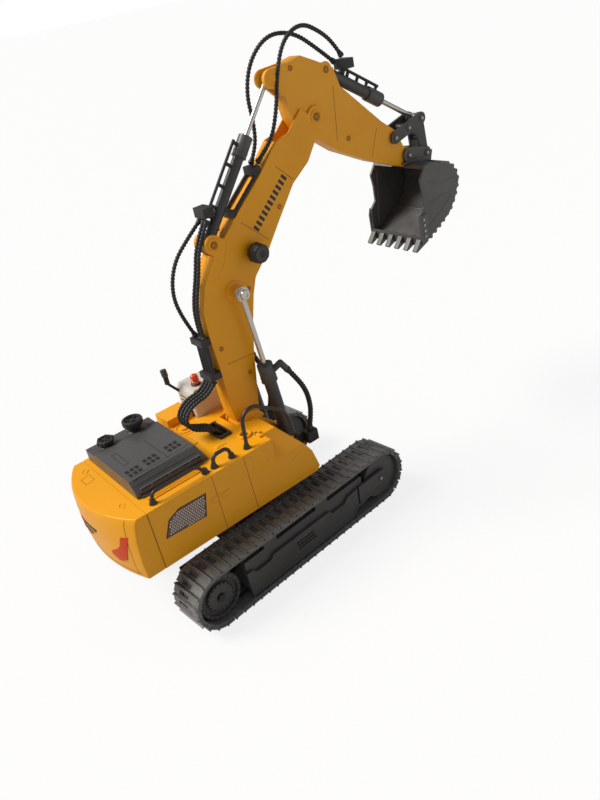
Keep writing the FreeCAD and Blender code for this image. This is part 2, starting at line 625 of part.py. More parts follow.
# --- boom ------------------------------------------------------------------------------------------
def boom_half():
    """Left half of the boom: a hollow moulding split on the middle plane, forked for the stick."""
    half = boom_width / 2
    outline = boom_back + boom_front
    body = fuse([plate(outline, 0, half), cross(boom_foot, boom_foot_r, 0, half),
                 cross(stick_pivot, boom_ear_r, 0, half)])
    hollow = plate(inset(outline, boom_wall), -1, half - boom_wall)
    hollow = hollow.cut(plate([(60, 330), (120, 284), (200, 284), (200, 400), (60, 400)], -2, half))
    hollow = hollow.cut(box(-30, 60, -2, half, 90, 130))
    body = body.cut(hollow)
    body = body.cut(plate(boom_fork, -1, half - boom_ear))
    body = body.cut(cross(stick_pivot, 34.0, -1, half - boom_ear).common(box(126, 260, -1, half, 290, 420)))
    lug = lozenge(stick_base, (30, 275), stick_lug_r, stick_lug_r, stick_lug_gap / 2, half)
    pocket = cross(stick_base, stick_lug_r + 1.5, -1, stick_lug_gap / 2)
    channel = plate([along(stick_base, stick_horn, 0, 8), along(stick_base, stick_horn, 40, 8),
                     along(stick_base, stick_horn, 40, -7.4), along(stick_base, stick_horn, 0, -9)],
                    -1, stick_lug_gap / 2 + 1.4)
    body = fuse([body, lug]).cut(pocket).cut(channel.common(box(-60, 60, -1, half, 262, 420)))
    boss = Part.makeCone(7.0, 5.0, 5.0, Vector(lift_pin[0], half, lift_pin[1]), Vector(0, 1, 0))
    pin = cross(lift_pin, pin_r, half, lift_offset + 3.2)
    body = fuse([body, boss, pin])
    for point, radius in ((boom_foot, pin_r * 1.2 + axle_fit), (stick_pivot, pin_r), (stick_base, pin_r)):
        body = body.cut(cross(point, radius, -1, half + 1))
    return body


def boom_pins():
    half = boom_width / 2
    return Part.makeCompound([cross(stick_pivot, pin_r, -half, half), cross(stick_base, pin_r, -half, half)])


def work_lamp():
    centre = (57, 264)
    half = boom_width / 2
    foot = cross(centre, 4.0, half, half + 3)
    body = Part.makeCone(8.5, 7.0, 11.0, Vector(centre[0], half + 3, centre[1]), Vector(0, 1, 0))
    return fuse([foot, body])


def hose_holders():
    """Frame along the upper back of the boom that the loops leave from, and the two clamps on its lower back."""
    low, high, half = (48, 298.5), (80, 324.1), 6.4
    rails = [bar(at(low, y), at(high, y), 1.5) for y in (-half, half)]
    ends = [box(low[0] - 2, low[0] + 3, -half - 1.4, half + 1.4, low[1] - 2.2, low[1] + 3),
            box(high[0] - 4, high[0] + 3, -half - 1.4, half + 1.4, high[1] - 2, high[1] + 4.4)]
    ladder = fuse(rails + ends)
    outline = boom_back + boom_front
    ladder = ladder.cut(plate(outline, -20, 20))
    clamps = []
    for z in (clamp_low_z, clamp_high_z):
        back = -12.4
        clamps.append(box(back, 2, -boom_width / 2, boom_width / 2, z - clamp_height / 2,
                          z + clamp_height / 2).cut(plate(outline, -20, 20)))
    return Part.makeCompound([ladder] + clamps)


def hose_run():
    """Four smooth tubes in one flat moulding, held between the two clamps."""
    tubes = []
    for i in range(4):
        y = (i - 1.5) * hose_pitch
        tubes.append(bar((run_x, y, clamp_low_z + clamp_height / 2), (run_x, y, clamp_high_z - clamp_height / 2), hose_r))
    return Part.makeCompound(tubes)


right, left = mirrored(boom_half()), boom_half()
save("boom_right", right)
save("boom_left", left)
save("boom_pins", boom_pins())
save("work_lamps", pair(work_lamp()))
save("hose_holders", hose_holders())
save("hose_run", hose_run())


# --- cylinders --------------------------------------------------------------------------------------
def barrel(base, tip, radius, length, rod_r, eye_r, eye_half_width, y=0.0):
    """Foot eye, tube and thicker collar, bored for its rod."""
    tube = bar(at(along(base, tip, eye_r - 2), y), at(along(base, tip, length), y), radius)
    collar = bar(at(along(base, tip, length - collar_length), y), at(along(base, tip, length), y), radius + collar_extra)
    eye = cross(base, eye_r, y - eye_half_width, y + eye_half_width)
    bore = bar(at(along(base, tip, eye_r + 4), y), at(along(base, tip, length + 1), y), rod_r + rod_gap)
    return fuse([tube, collar, eye]).cut(bore)


def rod(base, tip, radius, length, eye_r, eye_half_width, hole_r, y=0.0):
    reach = math.hypot(tip[0] - base[0], tip[1] - base[1]) - (hole_r + eye_r) / 2
    shaft = bar(at(along(base, tip, length - rod_engaged), y), at(along(base, tip, reach), y), radius)
    eye = cross(tip, eye_r, y - eye_half_width, y + eye_half_width)
    if hole_r:
        eye = eye.cut(cross(tip, hole_r, y - eye_half_width - 1, y + eye_half_width + 1))
        shaft = shaft.cut(cross(tip, (hole_r + eye_r) / 2, y - 10, y + 10))
    return fuse([shaft, eye])


def side_pipe(base, tip, radius, length, start, end, block):
    """Hard pipe beside a barrel, held by four clips, with its port block at the foot end."""
    pieces = [bar(at(along(base, tip, start, pipe_offset), 0), at(along(base, tip, end, pipe_offset), 0), pipe_r)]
    for i in range(4):
        t = start + 7 + i * (end - start - 9) / 3
        foot = radius + (collar_extra if t > length - collar_length - 2 else 0)
        a, b = along(base, tip, t, foot), along(base, tip, t, pipe_offset)
        pieces.append(bar(at(a, 0), at(b, 0), 1.5))
    lx, lz = along(base, tip, start, block)
    pieces.append(box(lx - 5, lx + 5, -7.5, 7.5, lz - 4, lz + 4))
    pieces.append(bar(at(along(base, tip, start, radius), 0), at(along(base, tip, start, block), 0), 3.0))
    return fuse(pieces)


stick_horn_half = horn_gap / 2 - 0.7
lift_hole = pin_r + open_pin_gap
lift = barrel(lift_base, lift_pin, lift_barrel_r, lift_barrel_length, lift_rod_r, 6.6, eye_half, lift_offset)
lift = lift.cut(cross(lift_base, axle_r + axle_fit, lift_offset - 12, lift_offset + 12))
elbow_foot = along(lift_base, lift_pin, lift_barrel_length - 8)
elbow = [(elbow_foot[0] + 3, lift_offset + 3, elbow_foot[1]), (50, lift_offset + 6.2, 165),
         (54, lift_offset + 7.6, 158)]
lift = fuse([lift, bar(elbow[0], elbow[1], 3.0), bar(elbow[1], elbow[2], 3.0), Part.makeSphere(3.0, Vector(*elbow[1]))])
lift = lift.cut(bar(at(along(lift_base, lift_pin, 20), lift_offset), at(lift_pin, lift_offset), lift_rod_r + rod_gap))
save("lift_barrels", pair(lift))
save("lift_rods", pair(rod(lift_base, lift_pin, lift_rod_r, lift_barrel_length, lift_hole + rod_eye_wall,
                           2.8, lift_hole, lift_offset)))
stick_tube = barrel(stick_base, stick_horn, stick_barrel_r, stick_barrel_length, stick_rod_r, 6.4,
                    stick_lug_gap / 2 - side_gap)
stick_tube = stick_tube.cut(cross(stick_base, pin_r + axle_fit, -10, 10))
save("stick_barrel", stick_tube)
save("stick_rod", rod(stick_base, stick_horn, stick_rod_r, stick_barrel_length, 4.4, stick_horn_half, 0))
save("stick_pipe", side_pipe(stick_base, stick_horn, stick_barrel_r, stick_barrel_length, 22, 84, 13.5))


# --- stick -------------------------------------------------------------------------------------------
def stick_half():
    """Left half of the stick, hollow, with the horn behind for its cylinder and the tip bosses in front."""
    half = stick_width / 2
    outline = stick_outline + stick_under
    body = fuse([plate(outline, 0, half), cross(rocker_pivot, rocker_boss_r, 0, half), cross(bucket_pivot, tip_r, 0, half),
                 cross(bucket_base, 6.4, 0, half), cross(stick_pivot, boom_ear_r, 0, half)])
    solid_ends = [box(100, 158, -2, 20, 330, 420), box(214, 300, -2, 20, 260, 330)]
    hollow = plate(inset(outline, stick_wall), -1, half - stick_wall)
    for end in solid_ends:
        hollow = hollow.cut(end)
    body = body.cut(hollow)
    horn = fuse([cross(stick_horn, horn_r, horn_gap / 2, half),
                 plate([(stick_horn[0], stick_horn[1] + horn_r), (128, 397.5), (122, 372),
                        (stick_horn[0] + 1, stick_horn[1] - horn_r)], horn_gap / 2, half)])
    body = fuse([body, horn])
    seat_half = bucket_barrel_r + side_gap
    seat = fuse([cross(bucket_base, 9.0, -1, seat_half),
                 plate([along(bucket_base, rocker_end, 0, 9), along(bucket_base, rocker_end, 60, 9),
                        along(bucket_base, rocker_end, 60, -6.2), along(bucket_base, rocker_end, 0, -9)],
                       -1, seat_half)])
    body = body.cut(seat)
    for point in (bucket_base, rocker_pivot, bucket_pivot):
        body = body.cut(cross(point, pin_r, -1, half + 1))
    return body.cut(cross(stick_pivot, pin_r + axle_fit, -1, half + 1))


def stick_pins():
    half = stick_width / 2
    tip_out = half + side_gap + rocker_plate
    return Part.makeCompound([cross(bucket_base, pin_r, -half, half), cross(rocker_pivot, pin_r, -tip_out, tip_out),
                              cross(bucket_pivot, pin_r, -tip_out, tip_out)])


def rocker():
    """Two side plates joined by a round bar, with stub pins that reach in to the link."""
    inner = stick_width / 2 + side_gap
    side = lozenge(rocker_pivot, rocker_end, rocker_r, rocker_r, inner, inner + rocker_plate)
    side = side.cut(cross(rocker_pivot, pin_r + axle_fit, inner - 1, inner + rocker_plate + 1))
    stub = cross(rocker_end, pin_r, link_in - 0.4, inner + 0.5)
    middle = along(rocker_pivot, rocker_end, 19.5)
    return fuse([side, mirrored(side), stub, mirrored(stub), cross(middle, 2.4, -inner - 0.5, inner + 0.5)])


link_out = stick_width / 2
link_in = link_out - link_plate


def link():
    arm = lozenge(rocker_end, link_pivot, link_r, link_r, link_in, link_out)
    arm = arm.cut(cross(rocker_end, pin_r + axle_fit, link_in - 1, link_out + 1))
    arm = arm.cut(cross(link_pivot, pin_r + open_pin_gap * 0.8, link_in - 1, link_out + 1))
    middle = ((rocker_end[0] + link_pivot[0]) / 2, (rocker_end[1] + link_pivot[1]) / 2 - 2)
    return fuse([arm, mirrored(arm), cross(middle, 2.4, -link_in - 0.5, link_in + 0.5)])


def bucket():
    """Curved shell between two side plates, six teeth, bolted side cutters, back ribs and two ear plates."""
    half = bucket_width / 2
    outer = plate(bucket_side, -half, half)
    room = plate(bucket_inner, -half + bucket_plate, half - bucket_plate)
    shell = outer.cut(room)
    inner = stick_width / 2 + side_gap
    ear = fuse([lozenge(bucket_pivot, link_pivot, bucket_ear_r, bucket_ear_r - 1, inner, inner + rocker_plate),
                plate([(246, 285), (284, 287), (280, 274), (250, 279)], inner, inner + rocker_plate)])
    ear = ear.cut(cross(bucket_pivot, pin_r + axle_fit, inner - 1, inner + rocker_plate + 1))
    ear = ear.cut(room.common(box(200, 320, -60, 60, 200, 277)))
    shell = shell.cut(cross(bucket_pivot, tip_notch_r, -inner, inner))
    stub = cross(link_pivot, stub_r, link_in - 0.4, inner + 0.5)
    pieces = [shell, ear, mirrored(ear), stub, mirrored(stub)]
    cutter = plate([(233, 239.5), (242, 239.5), (241, 214), (231.5, 211.5), (231, 233)], half - 0.5, half + 1.4)
    pieces += [cutter, mirrored(cutter)]
    for i in range(tooth_count):
        y = (i / (tooth_count - 1) - 0.5) * (bucket_width - tooth_width)
        tooth = plate([(238, 217), (242, 212), tooth_tip, (tooth_tip[0] - 1.2, tooth_tip[1] + 1.6), (231, 216.5)],
                      y - tooth_width / 2, y + tooth_width / 2)
        pieces.append(tooth)
    return fuse(pieces)


save("stick_right", mirrored(stick_half()))
save("stick_left", stick_half())
save("stick_pins", stick_pins())
bucket_tube = barrel(bucket_base, rocker_end, bucket_barrel_r, bucket_barrel_length, bucket_rod_r, 5.6,
                     bucket_barrel_r)
bucket_tube = bucket_tube.cut(cross(bucket_base, pin_r + axle_fit, -10, 10))
save("bucket_barrel", bucket_tube)
save("bucket_rod", rod(bucket_base, rocker_end, bucket_rod_r, bucket_barrel_length, 4.4, 3.4, 0))
save("bucket_pipe", side_pipe(bucket_base, rocker_end, bucket_barrel_r, bucket_barrel_length, 23, 68, 13.5))
save("rocker", rocker())
save("link", link())
save("bucket", bucket())

# --- hoses --------------------------------------------------------------------------------------------
for i in range(4):
    y = (i - 1.5) * hose_pitch
    save("deck_hose_%d" % (i + 1), hose("deck hose", [(px, py + y, pz) for px, py, pz in deck_hose_route], hose_r))
save("stick_hose_outer", hose("outer", outer_hose_route, hose_r))
for i, name in enumerate(("stick_hose_inner_1", "stick_hose_inner_2")):
    y = -hose_pitch * i
    save(name, hose(name, [(px, py + y, pz) for px, py, pz in inner_hose_route], hose_r))
save("loop_hose_1", hose("loop 1", loop_a_route, hose_r))
save("loop_hose_2", hose("loop 2", loop_b_route, hose_r))
save("lift_hose_right", hose("lift right", [(px, -py, pz) for px, py, pz in lift_hose_route], hose_r * 1.4))
save("lift_hose_left", hose("lift left", lift_hose_route, hose_r * 1.4))
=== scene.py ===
import json
import math

import bmesh
import bpy
from mathutils import Euler, Matrix, Vector
from mathutils.bvhtree import BVHTree

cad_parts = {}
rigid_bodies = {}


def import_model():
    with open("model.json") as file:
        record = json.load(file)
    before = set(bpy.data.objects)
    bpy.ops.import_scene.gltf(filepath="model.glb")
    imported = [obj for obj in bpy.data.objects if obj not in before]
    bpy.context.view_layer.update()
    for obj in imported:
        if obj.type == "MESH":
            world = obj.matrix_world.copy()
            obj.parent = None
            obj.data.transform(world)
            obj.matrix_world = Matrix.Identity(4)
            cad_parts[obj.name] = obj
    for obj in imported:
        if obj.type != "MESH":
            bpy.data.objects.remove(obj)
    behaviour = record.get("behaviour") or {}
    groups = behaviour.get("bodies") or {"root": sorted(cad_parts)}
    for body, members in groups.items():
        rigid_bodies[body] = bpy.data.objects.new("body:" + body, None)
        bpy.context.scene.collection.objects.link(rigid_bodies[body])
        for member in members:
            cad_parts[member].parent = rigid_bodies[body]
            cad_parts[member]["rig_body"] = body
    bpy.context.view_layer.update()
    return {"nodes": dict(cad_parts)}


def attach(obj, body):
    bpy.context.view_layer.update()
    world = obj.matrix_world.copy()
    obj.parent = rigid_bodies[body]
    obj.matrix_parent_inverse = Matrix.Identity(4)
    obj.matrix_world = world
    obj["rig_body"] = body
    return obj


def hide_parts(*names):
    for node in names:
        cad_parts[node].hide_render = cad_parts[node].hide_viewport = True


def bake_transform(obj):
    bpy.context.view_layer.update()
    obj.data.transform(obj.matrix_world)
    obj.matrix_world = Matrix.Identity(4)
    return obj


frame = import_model()
cadNodes = frame["nodes"]
mm = 0.001
print("frame loaded:", len(cadNodes), "nodes")


# shared shader groups

def addSocket(group, name, direction, kind="NodeSocketFloat", value=None):
    socket = group.interface.new_socket(name=name, in_out=direction, socket_type=kind)
    if value is not None:
        socket.default_value = value


def mouldedGroup():
    # slow tone drift, fine moulding grain and rubbed patches, for every plastic and painted part
    group = bpy.data.node_groups.new("mouldedSurface", "ShaderNodeTree")
    for name, value in (("Grain Scale", 900.0), ("Drift Scale", 14.0), ("Rub Scale", 60.0)):
        addSocket(group, name, "INPUT", value=value)
    for name in ("Tone", "Grain", "Rub"):
        addSocket(group, name, "OUTPUT")
    node, link = group.nodes.new, group.links.new
    start, end = node("NodeGroupInput"), node("NodeGroupOutput")
    place = node("ShaderNodeTexCoord")
    for socket, output, detail in (("Drift Scale", "Tone", 3.0), ("Grain Scale", "Grain", 2.0),
                                   ("Rub Scale", "Rub", 6.0)):
        noise = node("ShaderNodeTexNoise")
        noise.inputs["Detail"].default_value = detail
        link(place.outputs["Object"], noise.inputs["Vector"])
        link(start.outputs[socket], noise.inputs["Scale"])
        spread = node("ShaderNodeMapRange")
        spread.inputs["From Min"].default_value = 0.3
        spread.inputs["From Max"].default_value = 0.7
        link(noise.outputs["Fac"], spread.inputs["Value"])
        link(spread.outputs["Result"], end.inputs[output])
    return group


def wearGroup():
    # bright scuffs along edges, from the mesh's own curvature broken up by noise
    group = bpy.data.node_groups.new("edgeScuffs", "ShaderNodeTree")
    addSocket(group, "Amount", "INPUT", value=0.5)
    addSocket(group, "Mask", "OUTPUT")
    node, link = group.nodes.new, group.links.new
    start, end = node("NodeGroupInput"), node("NodeGroupOutput")
    place, shape = node("ShaderNodeTexCoord"), node("ShaderNodeNewGeometry")
    noise = node("ShaderNodeTexNoise")
    noise.inputs["Scale"].default_value = 220.0
    noise.inputs["Detail"].default_value = 5.0
    link(place.outputs["Object"], noise.inputs["Vector"])
    edge = node("ShaderNodeMapRange")
    edge.inputs["From Min"].default_value = 0.52
    edge.inputs["From Max"].default_value = 0.62
    link(shape.outputs["Pointiness"], edge.inputs["Value"])
    broken = node("ShaderNodeMath")
    broken.operation = "MULTIPLY"
    link(edge.outputs["Result"], broken.inputs[0])
    link(noise.outputs["Fac"], broken.inputs[1])
    scaled = node("ShaderNodeMath")
    scaled.operation = "MULTIPLY"
    link(broken.outputs[0], scaled.inputs[0])
    link(start.outputs["Amount"], scaled.inputs[1])
    link(scaled.outputs[0], end.inputs["Mask"])
    return group


moulded = mouldedGroup()
scuffs = wearGroup()


def mouldedMaterial(name, colours, rough, grain=0.1, wear=0.0, wearColour=(0.5, 0.5, 0.5),
                    scales=(900.0, 14.0, 60.0), **fixed):
    # colours: two close tones; rough: two roughness limits; grain: bump strength;
    # fixed: values of the shader's own sockets
    material = bpy.data.materials.new(name)
    material.use_nodes = True
    tree = material.node_tree
    shader = tree.nodes["Principled BSDF"]
    for socket, value in fixed.items():
        shader.inputs[socket.replace("_", " ")].default_value = value
    surface = tree.nodes.new("ShaderNodeGroup")
    surface.node_tree = moulded
    for socket, value in zip(("Grain Scale", "Drift Scale", "Rub Scale"), scales):
        surface.inputs[socket].default_value = value
    tint = tree.nodes.new("ShaderNodeMix")
    tint.data_type = "RGBA"
    tint.inputs["A"].default_value = (*colours[0], 1)
    tint.inputs["B"].default_value = (*colours[1], 1)
    tree.links.new(surface.outputs["Tone"], tint.inputs["Factor"])
    colour = tint.outputs["Result"]
    if wear:
        mask = tree.nodes.new("ShaderNodeGroup")
        mask.node_tree = scuffs
        mask.inputs["Amount"].default_value = wear
        worn = tree.nodes.new("ShaderNodeMix")
        worn.data_type = "RGBA"
        worn.inputs["B"].default_value = (*wearColour, 1)
        tree.links.new(colour, worn.inputs["A"])
        tree.links.new(mask.outputs["Mask"], worn.inputs["Factor"])
        colour = worn.outputs["Result"]
    tree.links.new(colour, shader.inputs["Base Color"])
    gloss = tree.nodes.new("ShaderNodeMapRange")
    gloss.inputs["To Min"].default_value = rough[0]
    gloss.inputs["To Max"].default_value = rough[1]
    tree.links.new(surface.outputs["Rub"], gloss.inputs["Value"])
    tree.links.new(gloss.outputs["Result"], shader.inputs["Roughness"])
    bump = tree.nodes.new("ShaderNodeBump")
    bump.inputs["Strength"].default_value = grain
    bump.inputs["Distance"].default_value = 0.0002
    tree.links.new(surface.outputs["Grain"], bump.inputs["Height"])
    tree.links.new(bump.outputs["Normal"], shader.inputs["Normal"])
    return material


def brushedMaterial(name, colours, rough, stretch, **fixed):
    # drawn or turned metal: streaks along one direction, from noise squeezed across it
    material = mouldedMaterial(name, colours, rough, grain=0.05, **fixed)
    tree = material.node_tree
    place = tree.nodes.new("ShaderNodeTexCoord")
    squeeze = tree.nodes.new("ShaderNodeMapping")
    squeeze.inputs["Scale"].default_value = stretch
    streaks = tree.nodes.new("ShaderNodeTexNoise")
    streaks.inputs["Scale"].default_value = 300.0
    streaks.inputs["Detail"].default_value = 4.0
    tree.links.new(place.outputs["Object"], squeeze.inputs["Vector"])
    tree.links.new(squeeze.outputs["Vector"], streaks.inputs["Vector"])
    bump = next(n for n in tree.nodes if n.bl_idname == "ShaderNodeBump")
    tree.links.new(streaks.outputs["Fac"], bump.inputs["Height"])
    return material


bodyYellow = mouldedMaterial("bodyYellow", ((0.88, 0.36, 0.006), (0.92, 0.4, 0.01)), (0.32, 0.44), 0.12, 0.3,
                             (0.95, 0.5, 0.05), Coat_Weight=0.06, Coat_Roughness=0.2, Specular_IOR_Level=0.3)
seamBrown = mouldedMaterial("seamBrown", ((0.16, 0.06, 0.004), (0.22, 0.08, 0.006)), (0.5, 0.6))
hoodGrey = mouldedMaterial("hoodGrey", ((0.07, 0.068, 0.064), (0.088, 0.085, 0.08)), (0.28, 0.42), 0.15, 0.3,
                           (0.16, 0.155, 0.15), Coat_Weight=0.1)
# near-black painted shade: the dark inside the hood's vent pits and its side opening; the same black also
# colours the hood's panel lines, the grille's rim and the drive wheels' pads
pitShadeBlack = mouldedMaterial("pitShadeBlack", ((0.006, 0.006, 0.006), (0.01, 0.01, 0.01)), (0.55, 0.7))
shoeGrey = mouldedMaterial("shoeGrey", ((0.062, 0.06, 0.057), (0.09, 0.087, 0.082)), (0.38, 0.55), 0.3, 0.9,
                           (0.26, 0.255, 0.245), (700.0, 30.0, 120.0))
coverGrey = mouldedMaterial("coverGrey", ((0.052, 0.049, 0.046), (0.066, 0.062, 0.058)), (0.34, 0.5), 0.2,
                            0.5, (0.16, 0.155, 0.15))
softBlack = mouldedMaterial("softBlack", ((0.014, 0.014, 0.014), (0.022, 0.021, 0.02)), (0.4, 0.55), 0.2, 0.4,
                            (0.08, 0.078, 0.075))
railBlack = mouldedMaterial("railBlack", ((0.03, 0.022, 0.016), (0.04, 0.03, 0.022)), (0.3, 0.45), 0.1, 0.3,
                            (0.12, 0.1, 0.08))
cylinderGrey = mouldedMaterial("cylinderGrey", ((0.05, 0.049, 0.047), (0.065, 0.063, 0.06)), (0.3, 0.44),
                               0.15, 0.5, (0.18, 0.175, 0.165))
bucketGrey = brushedMaterial("bucketGrey", ((0.085, 0.082, 0.078), (0.12, 0.116, 0.11)), (0.32, 0.5),
                             (1.0, 0.2, 1.0), wear=0.3, wearColour=(0.3, 0.3, 0.29), Metallic=0.3)
rodSilver = brushedMaterial("rodSilver", ((0.62, 0.61, 0.58), (0.72, 0.71, 0.68)), (0.2, 0.34),
                            (0.3, 1.0, 1.0), Metallic=0.95)
pinSteel = brushedMaterial("pinSteel", ((0.4, 0.39, 0.37), (0.5, 0.49, 0.47)), (0.3, 0.45), (1.0, 0.3, 1.0),
                           Metallic=0.9)
hoseBlack = mouldedMaterial("hoseBlack", ((0.012, 0.011, 0.011), (0.02, 0.019, 0.018)), (0.42, 0.6), 0.2, 0.3,
                            (0.06, 0.058, 0.055))
cabPale = mouldedMaterial("cabPale", ((0.62, 0.57, 0.52), (0.7, 0.65, 0.6)), (0.35, 0.48), 0.1)
lensOrange = mouldedMaterial("lensOrange", ((0.75, 0.07, 0.008), (0.85, 0.1, 0.012)), (0.1, 0.2), 0.05,
                             Coat_Weight=0.5, Subsurface_Weight=0.1)
reflectorRed = mouldedMaterial("reflectorRed", ((0.6, 0.045, 0.0), (0.68, 0.06, 0.002)), (0.35, 0.45), 0.1,
                               Specular_IOR_Level=0.25)
grilleTan = mouldedMaterial("grilleTan", ((0.13, 0.075, 0.06), (0.17, 0.1, 0.08)), (0.5, 0.6))
grilleDot = mouldedMaterial("grilleDot", ((0.72, 0.6, 0.52), (0.8, 0.68, 0.6)), (0.35, 0.5))
boardGreen = mouldedMaterial("boardGreen", ((0.01, 0.09, 0.03), (0.015, 0.12, 0.04)), (0.3, 0.5))
paleGlass = mouldedMaterial("paleGlass", ((0.8, 0.83, 0.84), (0.84, 0.87, 0.88)), (0.03, 0.08), 0.02,
                            Transmission_Weight=0.85, Alpha=0.5)
print("materials ready:", len(bpy.data.materials))


# helpers for making and placing pieces

def finishMesh(bm, name, materials, body=None, slotName=None, replaced=(), angle=35.0, weighted=True):
    # turns the bmesh into an object at the origin that rides on its body
    for face in bm.faces:
        face.smooth = True
    for edge in bm.edges:
        if len(edge.link_faces) == 2:
            edge.smooth = edge.calc_face_angle(0.0) < math.radians(angle)
    mesh = bpy.data.meshes.new(name)
    bm.to_mesh(mesh)
    bm.free()
    piece = bpy.data.objects.new(name, mesh)
    bpy.context.scene.collection.objects.link(piece)
    for material in materials if isinstance(materials, tuple) else (materials,):
        mesh.materials.append(material)
    if weighted:
        normals = piece.modifiers.new("evenNormals", "WEIGHTED_NORMAL")
        normals.keep_sharp = True
    if body:
        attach(piece, body)
    if replaced:
        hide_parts(*replaced)
    return piece


def bevelSharp(bm, width, segments=2, angle=28.0, edges=None):
    limit = math.radians(angle)
    sharp = [e for e in edges or bm.edges if len(e.link_faces) == 2 and e.calc_face_angle(0.0) > limit]
    if sharp and width:
        bmesh.ops.bevel(bm, geom=sharp, offset=width * mm, segments=segments, profile=0.5, affect="EDGES",
                        material=-1, clamp_overlap=False)


def softenedNode(node, materials, width, slotName, paintBy=None):
    # a copy of a CAD node with its edges rounded as a mould rounds them, gentler where a corner would spike
    plain = bmesh.new()
    plain.from_mesh(cadNodes[node].data)
    bmesh.ops.remove_doubles(plain, verts=plain.verts, dist=0.01 * mm)
    bmesh.ops.dissolve_limit(plain, angle_limit=math.radians(0.8), verts=plain.verts, edges=plain.edges)
    surface = BVHTree.FromBMesh(plain)
    for share in (1.0, 0.6, 0.35, 0.0):
        bm = plain.copy()
        bevelSharp(bm, width * share)
        if max(surface.find_nearest(v.co)[3] for v in bm.verts) <= 0.8 * width * share * mm + 1e-6:
            break
        bm.free()
        bm = plain
    if paintBy:
        for face in bm.faces:
            face.material_index = paintBy(face.calc_center_median() / mm)
    return finishMesh(bm, node + "_shape", materials, cadNodes[node]["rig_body"], slotName, (node,))


def addBlock(bm, low, high, bevel=0.0, segments=2):
    # a box between two corners, in millimetres
    low, high = Vector(low), Vector(high)
    made = bmesh.ops.create_cube(bm, size=1.0)["verts"]
    bmesh.ops.scale(bm, vec=(high - low) * mm, verts=made)
    bmesh.ops.translate(bm, vec=(low + high) / 2 * mm, verts=made)
    if bevel:
        edges = list({e for v in made for e in v.link_edges})
        made = bmesh.ops.bevel(bm, geom=edges, offset=bevel * mm, segments=segments, profile=0.5,
                               affect="EDGES", material=-1, clamp_overlap=True)["verts"] + made
    return [v for v in made if v.is_valid]


def turnTo(direction):
    return Vector((0, 0, 1)).rotation_difference(Vector(direction).normalized()).to_matrix().to_4x4()


def addRod(bm, start, end, radius, sides=16, tip=None, caps=True):
    # a round bar or cone between two points, in millimetres
    start, end = Vector(start), Vector(end)
    matrix = Matrix.Translation((start + end) / 2 * mm) @ turnTo(end - start)
    return bmesh.ops.create_cone(bm, cap_ends=caps, segments=sides, radius1=radius * mm,
                                 radius2=(radius if tip is None else tip) * mm,
                                 depth=(end - start).length * mm, matrix=matrix)["verts"]


def addTurned(bm, profile, base, direction, sides=32):
    # profile: (radius, height) points in millimetres, foot to tip, spun about direction through base
    before = set(bm.verts)
    points = [bm.verts.new((r * mm, 0, h * mm)) for r, h in profile]
    edges = [bm.edges.new(pair) for pair in zip(points, points[1:])]
    bmesh.ops.spin(bm, geom=points + edges, cent=(0, 0, 0), axis=(0, 0, 1), angle=math.tau, steps=sides,
                   use_merge=True)
    made = [v for v in bm.verts if v not in before]
    bmesh.ops.remove_doubles(bm, verts=made, dist=0.0005 * mm)
    made = [v for v in bm.verts if v not in before]
    faces = list({f for v in made for f in v.link_faces})
    bmesh.ops.recalc_face_normals(bm, faces=faces)
    bmesh.ops.transform(bm, matrix=Matrix.Translation(Vector(base) * mm) @ turnTo(direction), verts=made)
    return made


def addPlate(bm, points, y0, y1, bevel=0.0):
    # a flat plate whose (x, z) outline stands at y0 and reaches to y1, in millimetres
    before = set(bm.verts)
    face = bm.faces.new([bm.verts.new((x * mm, y0 * mm, z * mm)) for x, z in points])
    made = bmesh.ops.extrude_face_region(bm, geom=[face])["geom"]
    far = [g for g in made if isinstance(g, bmesh.types.BMVert)]
    bmesh.ops.translate(bm, vec=(0, (y1 - y0) * mm, 0), verts=far)
    verts = [v for v in bm.verts if v not in before]
    faces = list({f for v in verts for f in v.link_faces})
    bmesh.ops.recalc_face_normals(bm, faces=faces)
    if bevel:
        edges = list({e for v in verts for e in v.link_edges})
        bmesh.ops.bevel(bm, geom=edges, offset=bevel * mm, segments=2, profile=0.5, affect="EDGES",
                        material=-1, clamp_overlap=True)
    return [v for v in bm.verts if v not in before]


def addPit(bm, low, high, axis, depth=0.5, rim=0.25, floorPaint=0):
    # a shallow block whose outer face is inset and sunk, so that it reads as a slot with a rim
    made = addBlock(bm, low, high)
    faces = {f for v in made for f in v.link_faces}
    for face in faces:
        face.normal_update()
    top = max(faces, key=lambda f: f.normal.dot(Vector(axis)))
    bmesh.ops.inset_region(bm, faces=[top], thickness=rim * mm, depth=0)
    bmesh.ops.translate(bm, vec=-Vector(axis) * depth * mm, verts=top.verts)
    top.material_index = floorPaint
    return made


def addStrip(bm, start, end, normal, width, height, sink=0.3, bevel=0.0):
    # a low bar laid on a surface from one point to another: panel lines, ribs, ticks and plain bars
    start, end, up = Vector(start), Vector(end), Vector(normal).normalized()
    along = (end - start).normalized()
    across = up.cross(along).normalized()
    made = addBlock(bm, (0, -width / 2, -sink), ((end - start).length, width / 2, height), bevel, 1)
    turn = Matrix((along, across, along.cross(across))).transposed().to_4x4()
    bmesh.ops.transform(bm, matrix=Matrix.Translation(start * mm) @ turn, verts=made)
    return made


def paint(made, index):
    for face in {f for v in made for f in v.link_faces}:
        face.material_index = index


